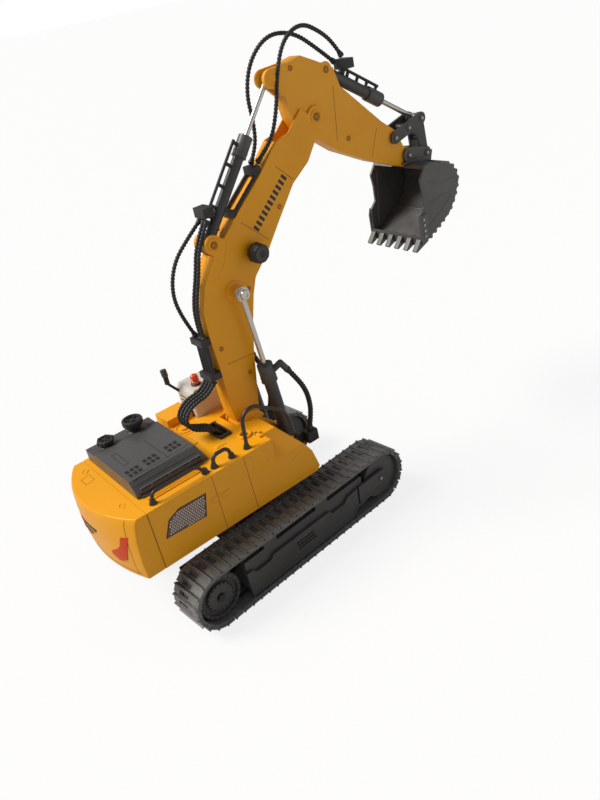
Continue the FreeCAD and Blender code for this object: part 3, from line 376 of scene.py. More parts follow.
def addScrew(bm, place, normal, radius=2.2, paintRim=0, paintPit=1):
    # a raised collar with a sunk cross-head screw
    paint(addTurned(bm, [(0, -0.4), (radius + 0.5, -0.4), (radius + 0.5, 0.15), (radius + 0.2, 0.4),
                         (radius, 0.35), (radius - 0.1, 0.06), (0, 0.06)], place, normal, 20), paintRim)
    paint(addTurned(bm, [(radius - 0.3, 0.05), (radius - 0.3, 0.12), (0, 0.12)], place, normal, 20), paintPit)
    up = Vector(normal).normalized()
    side = up.orthogonal().normalized()
    for along in (side, up.cross(side)):
        reach = along * (radius - 0.9)
        base = Vector(place) + up * 0.1
        paint(addStrip(bm, base - reach, base + reach, normal, 0.6, 0.12, 0.05), paintRim)


def mirroredY(bm, keep=True):
    # adds the other side's copy, or turns the whole mesh into it
    if keep:
        made = bmesh.ops.duplicate(bm, geom=bm.verts[:] + bm.edges[:] + bm.faces[:])["geom"]
    else:
        made = bm.verts[:] + bm.faces[:]
    bmesh.ops.scale(bm, vec=(1, -1, 1), verts=[g for g in made if isinstance(g, bmesh.types.BMVert)])
    bmesh.ops.reverse_faces(bm, faces=[g for g in made if isinstance(g, bmesh.types.BMFace)])


# undercarriage

track = {"yaw": 3.6, "reach": 99.0, "height": 28.5, "inner": 48.5, "outer": 83.5, "plateRadius": 26.9,
         "tipRadius": 28.5, "bandOuter": 25.3, "bandInner": 22.9, "shoes": 60, "plateLength": 8.0,
         "ribWidth": 1.5, "window": (56.5, 69.0), "wheelFace": 78.5, "wheelBack": 53.5}


def turnedTrack(bm, side):
    # track pieces are made straight on the left, then mirrored for the right and turned to their yaw
    if side < 0:
        mirroredY(bm, keep=False)
    bmesh.ops.rotate(bm, cent=(0, 0, 0), matrix=Matrix.Rotation(math.radians(track["yaw"]), 3, "Z"),
                     verts=bm.verts)


def loopPlace(run, radius):
    # the turn and place of a shoe after running that far round both wheels
    straight, arc = 2 * track["reach"], math.pi * radius
    if run < straight:
        return run - track["reach"], track["height"] - radius, 0.0
    run -= straight
    if run < arc:
        angle = run / radius
        return (track["reach"] + radius * math.sin(angle), track["height"] - radius * math.cos(angle), angle)
    run -= arc
    if run < straight:
        return track["reach"] - run, track["height"] + radius, math.pi
    angle = math.pi + (run - straight) / radius
    return (-track["reach"] + radius * math.sin(angle), track["height"] - radius * math.cos(angle), angle)


def addLoopBand(bm, outer, inner, y0, y1, steps=48):
    # a band of two radii that runs round both wheels
    rings, half = [], Matrix.Rotation(math.pi / steps, 4, "Z")
    for radius in (outer, inner):
        verts = bmesh.ops.create_circle(bm, segments=steps, radius=radius * mm,
                                        matrix=Matrix.Rotation(math.pi / 2, 4, "X") @ half)["verts"]
        for vert in verts:
            vert.co += Vector((math.copysign(track["reach"], vert.co.x), y0, track["height"])) * mm
        rings += list({e for v in verts for e in v.link_edges})
    faces = bmesh.ops.bridge_loops(bm, edges=rings)["faces"]
    made = bmesh.ops.extrude_face_region(bm, geom=faces)["geom"]
    far = [g for g in made if isinstance(g, bmesh.types.BMVert)]
    bmesh.ops.translate(bm, vec=(0, (y1 - y0) * mm, 0), verts=far)


def shoeMesh():
    # one shoe, lying flat: plate halves beside an open window, a grouser rib, link lugs and end bosses
    bm = bmesh.new()
    half, low, top = track["plateLength"] / 2, -1.9, 0.0
    tip = track["tipRadius"] - track["plateRadius"]
    inner, outer, (windowIn, windowOut) = track["inner"], track["outer"], track["window"]
    addBlock(bm, (-half, inner, low), (half, windowIn, top), 0.3, 1)
    addBlock(bm, (-half, windowOut, low), (half, outer, top), 0.3, 1)
    addBlock(bm, (half - 3.4, windowIn - 0.2, low), (half, windowOut + 0.2, top), 0.25, 1)
    addBlock(bm, (-half, windowIn - 0.2, low), (-half + 0.7, windowOut + 0.2, top - 0.2), 0.15, 1)
    addBlock(bm, (half - track["ribWidth"], inner + 0.4, top - 0.4), (half, outer - 0.4, tip), 0.28, 1)
    for y in (inner + 1.0, outer - 3.6):
        addBlock(bm, (-half + 1.3, y, low - 2.4), (half - 1.3, y + 2.6, low + 0.3), 0.5, 1)
    addRod(bm, (0, inner + 0.3, low - 1.0), (0, outer - 0.3, low - 1.0), 1.1, 8)
    mesh = bpy.data.meshes.new("shoe")
    bm.to_mesh(mesh)
    bm.free()
    return mesh


def makeBelts():
    shoe = shoeMesh()
    for side, word in ((1, "left"), (-1, "right")):
        bm = bmesh.new()
        addLoopBand(bm, track["bandOuter"], track["bandInner"], track["inner"] + 0.9,
                    track["window"][0] + 1.4)
        addLoopBand(bm, track["bandOuter"], track["bandInner"], track["window"][1] - 1.4,
                    track["outer"] - 0.9)
        addLoopBand(bm, track["bandInner"] + 0.8, track["bandInner"], track["window"][0], track["window"][1])
        length = 4 * track["reach"] + math.tau * track["plateRadius"]
        for i in range(track["shoes"]):
            x, z, angle = loopPlace(i * length / track["shoes"], track["plateRadius"])
            known = len(bm.verts)
            bm.from_mesh(shoe)
            bm.verts.ensure_lookup_table()
            turn = Matrix.Translation((x * mm, 0, z * mm)) @ Matrix.Rotation(math.pi - angle, 4, "Y")
            bmesh.ops.transform(bm, matrix=turn, verts=bm.verts[known:])
        turnedTrack(bm, side)
        finishMesh(bm, "trackShoes" + word.title(), shoeGrey, "undercarriage", "track_black",
                   ("track_belt_" + word,))


wheel = {"radius": 21.2, "teeth": 20, "hub": 12.4, "hubPins": 18}


def makeSprockets():
    # deep-rimmed drive wheels: toothed rim, castellated hub plate and an open axle hole
    for side, word in ((1, "left"), (-1, "right")):
        bm = bmesh.new()
        centre = (-track["reach"], track["wheelBack"], track["height"])
        width = track["wheelFace"] - track["wheelBack"]
        r, hub = wheel["radius"], wheel["hub"]
        addTurned(bm, [(0, 0), (r - 1.5, 0), (r, 1.2), (r, width - 1.4), (r - 0.9, width - 0.2),
                       (r - 1.4, width), (r - 3.4, width), (r - 3.8, width - 0.4), (r - 4.2, width - 2.4),
                       (hub + 0.6, width - 2.8), (hub + 0.6, width - 0.9), (hub, width - 0.3),
                       (hub - 0.8, width), (4.4, width), (4.1, width - 0.4), (3.3, width - 0.6),
                       (3.2, width - 4.5), (0, width - 4.5)], centre, (0, 1, 0), 48)
        face = track["wheelFace"]
        for count, radius, size, paintIndex in ((wheel["teeth"], r - 2.3, 1.5, 1),
                                                (wheel["hubPins"], hub - 0.1, 1.3, 1)):
            for i in range(count):
                turn = Matrix.Rotation(math.tau * i / count, 4, "Y")
                made = addBlock(bm, (radius - size * 0.7, face - 0.6, -size / 2),
                                (radius + size * 0.7, face + 0.12, size / 2), 0.15, 1)
                bmesh.ops.transform(bm, matrix=Matrix.Translation((centre[0] * mm, 0, centre[2] * mm)) @ turn,
                                    verts=made)
                paint(made, paintIndex)
        for i in range(wheel["teeth"]):
            angle = math.tau * (i + 0.5) / wheel["teeth"]
            x, z = centre[0] + (r - 2.3) * math.cos(angle), centre[2] + (r - 2.3) * math.sin(angle)
            addTurned(bm, [(0, 0), (0.75, 0), (0.75, 0.35), (0.4, 0.55), (0, 0.55)], (x, face - 0.05, z),
                      (0, 1, 0), 8)
        turnedTrack(bm, side)
        finishMesh(bm, "driveWheel" + word.title(), (coverGrey, pitShadeBlack), "sprocket_%s_wheel" % word,
                   "track_black", ("sprocket_" + word,))


def makeSideCovers():
    # a border rib under the long cover, the bolt of the front wheel and its washer
    for side, word in ((1, "left"), (-1, "right")):
        softenedNode("side_cover_" + word, coverGrey, 0.35, "side_charcoal")
        bm = bmesh.new()
        out = 83.0
        for a, b in (((-67, 10.9), (53, 10.9)), ((53, 10.9), (62, 19)), ((66.5, 19.4), (103, 20.3))):
            addStrip(bm, (a[0], out, a[1] + 0.9), (b[0], out, b[1] + 0.9), (0, 1, 0), 0.9, 0.45)
        addTurned(bm, [(0, -0.3), (3.4, -0.3), (3.4, 0.3), (3.0, 0.5), (2.7, 0.5), (2.6, 0.1), (0, 0.1)],
                  (96, out, 29), (0, 1, 0), 24)
        paint(addTurned(bm, [(1.8, 0.05), (1.8, 0.9), (1.4, 1.2), (0, 1.2)], (96, out, 29), (0, 1, 0), 6), 1)
        turnedTrack(bm, side)
        finishMesh(bm, "coverTrim" + word.title(), (coverGrey, pinSteel), "undercarriage", "side_charcoal")


makeBelts()
makeSprockets()
makeSideCovers()
print("tracks made")


# plain finishes for the remaining CAD pieces, and softened copies of the moulded ones

softened = {"chassis_frame": (softBlack, 0.6, "black_plastic"), "track_frame_right": (coverGrey, 0.4,
                                                                                      "side_charcoal"),
            "track_frame_left": (coverGrey, 0.4, "side_charcoal"), "house_shell": (bodyYellow, 0.5,
                                                                                   "body_yellow"),
            "counterweight": (bodyYellow, 0.9, "body_yellow"), "engine_hood": (hoodGrey, 0.9, "hood_black"),
            "hose_blocks": (softBlack, 0.4, "black_plastic"), "boom_right": (bodyYellow, 0.45, "body_yellow"),
            "boom_left": (bodyYellow, 0.45, "body_yellow"), "stick_right": (bodyYellow, 0.4, "body_yellow"),
            "stick_left": (bodyYellow, 0.4, "body_yellow"), "rocker": (cylinderGrey, 0.35, "cylinder_grey"),
            "link": (cylinderGrey, 0.35, "cylinder_grey"), "bucket": (bucketGrey, 0.25, "bucket_steel"),
            "hose_holders": (softBlack, 0.25, "black_plastic")}
finishes = {"battery_pack": softBlack, "drive_gearboxes": softBlack, "idler_right": coverGrey,
            "idler_left": coverGrey, "turntable": bodyYellow, "hand_rails": railBlack, "cab_glass": paleGlass,
            "cab_seat": softBlack, "hose_gland": softBlack, "slew_motor": softBlack,
            "circuit_board": boardGreen, "boom_foot_pin": pinSteel, "boom_pins": pinSteel,
            "stick_pins": pinSteel, "hose_run": hoseBlack, "lift_barrels": cylinderGrey,
            "lift_rods": rodSilver, "stick_barrel": cylinderGrey, "stick_rod": rodSilver,
            "bucket_barrel": cylinderGrey, "bucket_rod": rodSilver, "stick_pipe": softBlack,
            "bucket_pipe": softBlack}
for node, (material, width, slotName) in softened.items():
    softenedNode(node, material, width, slotName)
# yellow below the deck's height, pale above it, dark mirror arm
softenedNode("cab_shell", (bodyYellow, cabPale, softBlack), 0.4, "body_yellow",
             lambda centre: 2 if centre.x < -16.5 or centre.z > 150.5 else 1 if centre.z > 99 else 0)
for node, material in finishes.items():
    cadNodes[node].data.materials.clear()
    cadNodes[node].data.materials.append(material)
print("finishes set")


# house trim

house = {"side": -59.0, "deck": 122.5, "hoodTop": 136.0, "railY": -52.0,
         "sideSeams": [((-59, 66), (-60, 121)), ((-25.5, 66), (-27.5, 121)), ((-121, 66), (-121, 121.5))],
         "handles": [(-61.9, 99.5), (-51.5, 98.7)],
         "rivets": [(-20.2, 116.7), (-19.5, 105.7), (-4.4, 116), (-4.3, 106.3)],
         "railFeet": [-111, -61, -52, -34, -18, 31],
         "grille": [(-69, 110), (-74, 89), (-113, 91), (-106, 106), (-95, 111)]}
# height, how far back the corners reach, and how far back the middle reaches
rear = {"half": 59.0,
        "sections": [(65, -136.8, -148.0), (81, -137.6, -150.0), (102.5, -136.2, -151.0),
                     (117.5, -133.2, -150.6), (122.5, -130.2, -149.7)]}


def rearSurface(y, z):
    # how far back the rear casting reaches at that place: an arc from corner to corner through its middle
    for (z0, corner0, middle0), (z1, corner1, middle1) in zip(rear["sections"], rear["sections"][1:]):
        if z <= z1:
            break
    share = min(1.0, max(0.0, (z - z0) / (z1 - z0)))
    middle = middle0 + (middle1 - middle0) * share
    depth = corner0 + (corner1 - corner0) * share - middle
    radius = (rear["half"] ** 2 + depth ** 2) / (2 * depth)
    return middle + radius - math.sqrt(radius ** 2 - y ** 2)


def addRearPatch(bm, outline, height):
    # a plate whose (y, z) outline is wrapped round the rear casting
    patch = bmesh.new()
    patch.faces.new([patch.verts.new((0, y * mm, z * mm)) for y, z in outline])
    ys, zs = [p[0] for p in outline], [p[1] for p in outline]
    cuts = [((0, y, 0), (0, 1, 0)) for y in range(int(min(ys)) + 1, int(max(ys)) + 1, 2)]
    cuts += [((0, 0, z), (0, 0, 1)) for z, _, _ in rear["sections"] if min(zs) < z < max(zs)]
    for place, normal in cuts:
        bmesh.ops.bisect_plane(patch, geom=patch.verts[:] + patch.edges[:] + patch.faces[:], dist=1e-7,
                               plane_co=Vector(place) * mm, plane_no=normal)
    top = bmesh.ops.extrude_face_region(patch, geom=patch.faces[:])["geom"]
    front = {g for g in top if isinstance(g, bmesh.types.BMVert)}
    for vert in patch.verts:
        vert.co.x = (rearSurface(vert.co.y / mm, vert.co.z / mm) + (-height if vert in front else 0.6)) * mm
    bmesh.ops.recalc_face_normals(patch, faces=patch.faces[:])
    mesh = bpy.data.meshes.new("rearPatch")
    patch.to_mesh(mesh)
    patch.free()
    known = len(bm.verts)
    bm.from_mesh(mesh)
    bpy.data.meshes.remove(mesh)
    bm.verts.ensure_lookup_table()
    return bm.verts[known:]


def insideOutline(outline, x, z, margin):
    # true where the point lies inside a convex outline by at least the margin
    turns = []
    for (x0, z0), (x1, z1) in zip(outline, outline[1:] + outline[:1]):
        edge = Vector((x1 - x0, z1 - z0))
        turns.append(edge.cross(Vector((x - x0, z - z0))) / edge.length)
    return all(t > margin for t in turns) or all(t < -margin for t in turns)


def makeSideTrim():
    bm = bmesh.new()
    y, out = house["side"], (0, -1, 0)
    for (x0, z0), (x1, z1) in house["sideSeams"]:
        paint(addStrip(bm, (x0, y, z0), (x1, y, z1), out, 0.45, 0.06), 1)
    for x, z in house["handles"]:
        addPit(bm, (x - 3.9, y - 0.45, z - 2.5), (x + 3.9, y + 0.3, z + 2.5), out, 0.4, 0.75)
    for x, z in house["rivets"]:
        addTurned(bm, [(1.0, -0.2), (1.0, 0.2), (0.7, 0.5), (0, 0.6)], (x, y, z), out, 12)
    addStrip(bm, (20, y, 91), (27.5, y, 93.6), out, 1.3, 0.5, bevel=0.3)
    addStrip(bm, (-112, y, 69.5), (-92, y, 69.5), out, 0.6, 0.3, bevel=0.15)
    # the same seams and door marks on the hidden side
    for x in (-82, -59):
        paint(addStrip(bm, (x, -y, 66), (x, -y, 121), (0, 1, 0), 0.45, 0.06), 1)
    addPit(bm, (-75, -y - 0.3, 97), (-66, -y + 0.45, 102), (0, 1, 0), 0.4, 0.75)
    finishMesh(bm, "sideTrim", (bodyYellow, seamBrown), "house", "body_yellow")

    bm = bmesh.new()
    outline = house["grille"]
    paint(addPlate(bm, outline, y + 0.3, y - 0.25), 1)
    middle = Vector((sum(p[0] for p in outline), sum(p[1] for p in outline))) / len(outline)
    inner = [tuple(middle + (Vector(p) - middle) * 0.955) for p in outline]
    addPlate(bm, inner, y, y - 0.4)
    for row in range(12):
        for column in range(25):
            x, z = -115 + column * 2.3 + (row % 2) * 1.15, 89.4 + row * 2.05
            if insideOutline(inner, x, z, 1.0):
                paint(addTurned(bm, [(0.75, 0.0), (0.7, 0.25), (0, 0.4)], (x, y - 0.35, z), out, 8), 2)
    finishMesh(bm, "sideGrille", (grilleTan, pitShadeBlack, grilleDot), "house", "black_plastic")


def makeRearTrim():
    bm = bmesh.new()
    for side in (1, -1):
        outline = [(-44.3, 105), (-51.8, 106.5), (-43.8, 82), (-38, 78.5), (-32.3, 77), (-25.6, 82.5),
                   (-26.6, 85.5), (-35.5, 90.5), (-40.6, 95)]
        addRearPatch(bm, [(side * y, z) for y, z in outline[::side]], 0.5)
    finishMesh(bm, "rearReflectors", reflectorRed, "house", "beacon_orange", angle=60.0)
    bm = bmesh.new()
    for high, low, span in ((101, 97, 30), (94.5, 91.5, 22), (89, 87, 14)):
        addRearPatch(bm, [(18, low), (17, high), (17 - span, high), (19 - span, low)], 0.25)
    finishMesh(bm, "rearBars", softBlack, "house", "black_plastic", angle=60.0)
    bm = bmesh.new()
    for y in (-50, 50):
        paint(addRearPatch(bm, [(y - 0.25, 67), (y - 0.25, 121), (y + 0.25, 121), (y + 0.25, 67)], 0.06), 1)
    paint(addRearPatch(bm, [(-54, 69.2), (-54, 69.8), (54, 69.8), (54, 69.2)], 0.06), 1)
    for x, y, size in ((-128.4, 40, 3.2), (-129.8, -33.1, 3.2)):
        addTurned(bm, [(size + 1, -0.3), (size + 1, 0.25), (size, 0.5), (size - 0.8, 0.5), (size - 1.2, -0.1),
                       (0, -0.1)], (x, y, house["deck"]), (0, 0, 1), 4)
    corners = [(-136, 20), (-136, 31), (-127.5, 33), (-127.5, 22)]
    for (x0, y0), (x1, y1) in zip(corners, corners[1:] + corners[:1]):
        paint(addStrip(bm, (x0, y0, house["deck"]), (x1, y1, house["deck"]), (0, 0, 1), 0.4, 0.06), 1)
    finishMesh(bm, "rearTrim", (bodyYellow, seamBrown), "house", "body_yellow", angle=60.0)


deck = {"boss": (-35.4, 24), "socket": (-7.5, -34)}


def makeDeckTrim():
    # raised bosses, ribs, labels and marks that stand on the deck
    bm = bmesh.new()
    top, up = house["deck"], (0, 0, 1)
    addBlock(bm, (-112, -47.9, top - 0.5), (-57, -46.2, top + 1.3), 0.5)
    addBlock(bm, (-112, -44.4, top - 0.5), (-57, -43.2, top + 0.8), 0.3)
    addTurned(bm, [(8.6, -0.4), (8.6, 0.6), (8.0, 1.0), (7.0, 1.0), (6.4, 0.3), (3.8, 0.3), (3.8, 1.8),
                   (3.2, 2.2), (0, 2.2)], (*deck["boss"], top), up, 40)
    addTurned(bm, [(12.6, -0.3), (12.6, 0.3), (12.2, 0.5), (11.4, 0.5), (11, -0.2)],
              (*deck["boss"], top), up, 48)
    addBlock(bm, (-35.5, -31, top - 0.4), (-24.5, -25.5, top + 0.7), 0.6)
    addBlock(bm, (-33.8, -29.6, top), (-26.2, -26.9, top + 1.1), 0.35)
    addBlock(bm, (-44, -8, top - 0.4), (-40.5, 14, top + 1.2), 0.6)
    addBlock(bm, (-28.5, 8.5, top - 0.4), (-9.5, 10.2, top + 1.4), 0.5)
    addTurned(bm, [(6.4, -1), (6.4, 1.6), (5.9, 2.1), (4.4, 2.1), (4.0, 1.7), (3.9, 0.4), (0, 0.4)],
              (*deck["socket"], top), up, 32)
    paint(addTurned(bm, [(3.4, 0.35), (3.4, 0.5), (0, 0.5)], (*deck["socket"], top), up, 24), 1)
    addBlock(bm, (-2, -49.5, top - 0.4), (1.2, -40.5, top + 2.2), 0.5)
    addBlock(bm, (-2, -43.5, top - 0.4), (4, -40.5, top + 2.2), 0.5)
    addStrip(bm, (-54, -36, top), (-48, -20, top), up, 0.9, 0.5, bevel=0.2)
    finishMesh(bm, "deckTrim", (bodyYellow, seamBrown), "house", "body_yellow")
    bm = bmesh.new()
    for x in house["railFeet"][:5]:
        addTurned(bm, [(0, -0.2), (3.4, -0.2), (3.4, 0.7), (2.9, 1.4), (2.3, 3.6), (2.0, 4.2), (0, 4.2)],
                  (x, house["railY"], top), up, 20)
    finishMesh(bm, "railFeet", railBlack, "house", "black_plastic")


hood = {"pitGroups": [(-106, -18), (-88, -15.5), (-66, -13.5)], "pitSize": (3.3, 4.2), "pitGap": (4.6, 6.6),
        "panel": [(-107.7, -3.4), (-103, -3.4), (-103, 20.4), (-107.7, 20.4)], "side": -37.0,
        "struts": (-104, -87, -68), "capFoot": 133.9, "bigCap": (-72, 44), "smallCap": (-101, 43)}


def makeHoodTrim():
    bm = bmesh.new()
    top, up = house["hoodTop"], (0, 0, 1)
    for start, end, width in (((-112.6, -25.8), (-56.8, -23.2), 0.6), ((-77, 17), (-77, -25), 0.5),
                              ((-114, 35.6), (-54, 35.6), 0.7), ((-113, -29.4), (-57, -27.6), 0.45)):
        paint(addStrip(bm, (*start, top), (*end, top), up, width, 0.06), 1)
    # the vent pits are painted near-black all over: painted shade for the dark inside each pit
    for gx, gy in hood["pitGroups"]:
        for i in range(3):
            for j in range(2):
                x, y = gx + (i - 1) * hood["pitGap"][0], gy + (j - 0.5) * hood["pitGap"][1] + (i - 1) * 0.25
                w, d = hood["pitSize"][0] / 2, hood["pitSize"][1] / 2
                paint(addPit(bm, (x - w, y - d, top - 0.8), (x + w, y + d, top + 0.2), up, 0.14, 0.25, 1), 1)
    panel = hood["panel"]
    for a, b in zip(panel, panel[1:] + panel[:1]):
        paint(addStrip(bm, (*a, top), (*b, top), up, 0.45, 0.06), 1)
    # long opening along the right side, with slanted struts and a sill
    side = hood["side"]
    # the opening's floor is painted near-black: painted shade inside the opening
    addPit(bm, (-112, side - 0.6, 123.4), (-55, side + 1.4, 130.4), (0, -1, 0), 1.6, 0.9, 1)
    for x in hood["struts"]:
        addStrip(bm, (x - 3.5, side + 0.3, 124), (x + 3.5, side + 0.3, 130), (0, -1, 0), 2.0, 0.5, bevel=0.3)
    addBlock(bm, (-113, side - 2.6, 122.6), (-54, side + 0.4, 124.6), 0.5)
    paint(addPit(bm, (-60, 41, 133.6), (-54.5, 49, 134.3), up, 0.5, 0.5, 1), 0)
    finishMesh(bm, "hoodTrim", (hoodGrey, pitShadeBlack), "house", "hood_black")

    # big mushroom cap and small lobed cap
    bm = bmesh.new()
    foot, (bigX, bigY), (smallX, smallY) = hood["capFoot"], hood["bigCap"], hood["smallCap"]
    addTurned(bm, [(7.4, 0), (6.6, 0.8), (5.8, 1.4), (5.6, 5.4), (8.8, 6.2), (9.5, 7.0), (9.6, 8.8),
                   (9.3, 9.0), (9.6, 9.2), (9.6, 10.6), (9.1, 11.6), (8.0, 12.0), (6.8, 11.8), (6.4, 11.2),
                   (6.0, 9.8), (2.2, 9.8), (1.9, 10.6), (0, 10.8)], (bigX, bigY, foot), up, 40)
    for i in range(4):
        turn = Matrix.Rotation(math.tau * (i + 0.5) / 4, 4, "Z")
        spoke = addBlock(bm, (1.4, -0.8, foot + 9.6), (6.4, 0.8, foot + 11), 0.3)
        bmesh.ops.transform(bm, matrix=Matrix.Translation((bigX * mm, bigY * mm, 0)) @ turn, verts=spoke)
    addTurned(bm, [(6.8, 0), (6.2, 0.6), (5.8, 1.0), (5.7, 3.2), (7.0, 3.8), (7.4, 4.3), (7.4, 6.2),
                   (6.9, 6.9), (5.4, 7.2), (5.0, 6.7), (4.8, 6.0), (1.8, 6.0), (1.6, 6.6), (0, 6.8)],
              (smallX, smallY, foot), up, 36)
    for i in range(6):
        angle = math.tau * i / 6
        x, y = smallX + 6.7 * math.cos(angle), smallY + 6.7 * math.sin(angle)
        addTurned(bm, [(1.5, 0), (1.5, 2.7), (1.1, 3.2), (0, 3.3)], (x, y, foot + 3.7), up, 12)
    for i in range(3):
        turn = Matrix.Rotation(math.pi * i / 3, 4, "Z")
        spoke = addBlock(bm, (-4.4, -0.5, foot + 5.8), (4.4, 0.5, foot + 6.8), 0.2)
        bmesh.ops.transform(bm, matrix=Matrix.Translation((smallX * mm, smallY * mm, 0)) @ turn, verts=spoke)
    finishMesh(bm, "hoodCaps", softBlack, "house", "black_plastic", ("hood_caps",))


cab = {"inner": 28.8, "outer": 57.5, "top": 150.0, "louvres": 9, "louvreFoot": 106, "louvreStep": 4.2,
       "mirror": (-24, 56.5, 161.5), "beacon": (-5, 37.8)}


def makeCabTrim():
    # pale panels on the back and the inner side, louvres, the mirror's head and the beacon
    bm = bmesh.new()
    y0, y1, top = cab["inner"], cab["outer"], cab["top"]
    addBlock(bm, (-16.6, y0 + 1.2, 96), (-15.7, y1 - 1.2, top - 5.5), 0.25)
    addBlock(bm, (-15, y0 - 0.5, 100), (38, y0 + 0.25, top - 6), 0.2)
    finishMesh(bm, "cabPanels", cabPale, "house", "cab_white")
    bm = bmesh.new()
    for i in range(cab["louvres"]):
        z = cab["louvreFoot"] + i * cab["louvreStep"]
        paint(addStrip(bm, (-16.6, y0 + 4.5, z), (-16.6, y1 - 4.5, z), (-1, 0, 0), 1.5, 0.35, bevel=0.2),
              1 if z < 108 else 0)
    addTurned(bm, [(0, 0), (2.7, 0), (3.0, 0.5), (3.0, 6.6), (2.6, 7.2), (0, 7.2)],
              cab["mirror"], (0, 0.2, 1), 20)
    finishMesh(bm, "cabLouvres", (coverGrey, coverGrey), "house", "black_plastic")
    bm = bmesh.new()
    place = (*cab["beacon"], top)
    addTurned(bm, [(0, 0), (4.6, 0), (4.6, 1.4), (4.0, 2.0), (3.4, 2.0)], place, (0, 0, 1), 28)
    paint(addTurned(bm, [(3.5, 1.6), (3.7, 2.2), (3.7, 8.2), (3.3, 9.6), (2.2, 10.6), (0, 10.9)], place,
                    (0, 0, 1), 28), 1)
    for i in range(3):
        paint(addTurned(bm, [(3.6, 0), (3.95, 0.25), (3.95, 0.55), (3.6, 0.8)],
                        (*cab["beacon"], top + 3.4 + i * 1.7), (0, 0, 1), 28), 1)
    finishMesh(bm, "cabBeacon", (softBlack, lensOrange), "house", "beacon_orange", ("cab_beacon",))


makeSideTrim()
makeRearTrim()
makeDeckTrim()
makeHoodTrim()
makeCabTrim()
print("house trimmed")


# boom, stick, cylinders and bucket

arm = {"boomHalf": 9.0, "stickHalf": 7.1, "liftBase": (45, 86), "liftPin": (31, 238), "stickBase": (22, 282),
       "stickHorn": (111, 389), "bucketBase": (168, 384), "rockerEnd": (273, 319), "rockerPivot": (237, 310),
       "bucketPivot": (252, 290), "linkPivot": (276, 286), "stickPivot": (148, 351), "liftOffset": 18.8,
       "barRow": ((64, 279.5), (105, 314.5)), "bars": 11, "lamp": (57, 264),
       "boomScrews": [(45, 235), (5, 195), (27, 162), (93, 291)], "boomSeams": [((97, 324), (113, 308)),
                                                                                ((52, 291), (76, 268)),
                                                                                ((7, 179), (36, 177))],
       "boomRibs": [((9, 252.5), (20, 256)), ((20, 256), (27, 262)), ((27, 262), (36, 283))],
       "stickScrews": [(182, 324), (131, 393)],
       "stickSeams": [((173, 370), (169, 325)), ((217, 324), (207, 301))]}


def alongLine(a, b, run, y=0.0):
    # a point on the way from a to b, both (x, z), at the given distance from a
    a, b = Vector(a), Vector(b)
    point = a + (b - a).normalized() * run
    return Vector((point.x, y, point.y))


def makeBoomTrim():
    bm = bmesh.new()
    half = arm["boomHalf"]
    for x, z in arm["boomScrews"]:
        addScrew(bm, (x, half, z), (0, 1, 0), 2.3)
    for (x, z), radius in ((arm["stickPivot"], 3.4), (arm["stickBase"], 3.2)):
        addTurned(bm, [(radius + 2.2, -0.3), (radius + 2.2, 0.5), (radius + 1.9, 0.8), (radius + 0.8, 0.8),
                       (radius + 0.7, 0.1)], (x, half, z), (0, 1, 0), 28)
        addScrew(bm, (x, half + 0.1, z), (0, 1, 0), radius)
    for a, b in arm["boomSeams"]:
        paint(addStrip(bm, (a[0], half, a[1]), (b[0], half, b[1]), (0, 1, 0), 0.45, 0.06), 1)
    for a, b in arm["boomRibs"]:
        addStrip(bm, (a[0], half, a[1]), (b[0], half, b[1]), (0, 1, 0), 0.9, 0.3, bevel=0.12)
    addTurned(bm, [(0, 0), (9.2, 0), (9.2, 0.8), (8.8, 1.2), (7.4, 1.3), (6.4, 2.0), (5.9, 5.0), (5.3, 5.4),
                   (4.4, 5.5), (0, 5.5)], (arm["liftPin"][0], half - 0.2, arm["liftPin"][1]), (0, 1, 0), 36)
    paint(addTurned(bm, [(0, 0), (5.4, 0), (5.4, 0.7), (5.1, 1.0), (4.5, 1.1), (4.3, 3.4), (3.9, 3.9),
                         (2.2, 3.9), (2.0, 3.3), (0, 3.3)], (arm["liftPin"][0], 21.85, arm["liftPin"][1]),
                    (0, 1, 0), 28), 2)
    # a row of plain bars along the upper boom
    (start, end), count = (Vector(p) for p in arm["barRow"]), arm["bars"]
    across = Vector((-(end - start).y, (end - start).x)).normalized()
    for i in range(count):
        middle = start.lerp(end, (i + 0.5) / count)
        a, b = middle - across * 3.3, middle + across * 3.3
        paint(addStrip(bm, (a.x, half, a.y), (b.x, half, b.y), (0, 1, 0), 2.7, 0.07, 0.2), 3)
    mirroredY(bm)
    finishMesh(bm, "boomTrim", (bodyYellow, seamBrown, rodSilver, softBlack), "boom", "body_yellow")

    bm = bmesh.new()
    place = (arm["lamp"][0], half, arm["lamp"][1])
    addTurned(bm, [(0, -0.2), (4.2, -0.2), (4.2, 2.4), (6.6, 3.0), (8.6, 4.2), (9.0, 5.2), (8.4, 12.6),
                   (7.7, 13.8), (5.6, 14.5), (0, 14.7)], place, (0, 1, 0), 10)
    paint(addTurned(bm, [(6.6, 14.0), (6.6, 14.9), (6.1, 15.2), (5.7, 14.6), (0, 14.55)], place, (0, 1, 0),
                    20), 1)
    mirroredY(bm)
    finishMesh(bm, "workLamps", (softBlack, coverGrey), "boom", "black_plastic", ("work_lamps",), angle=25.0)


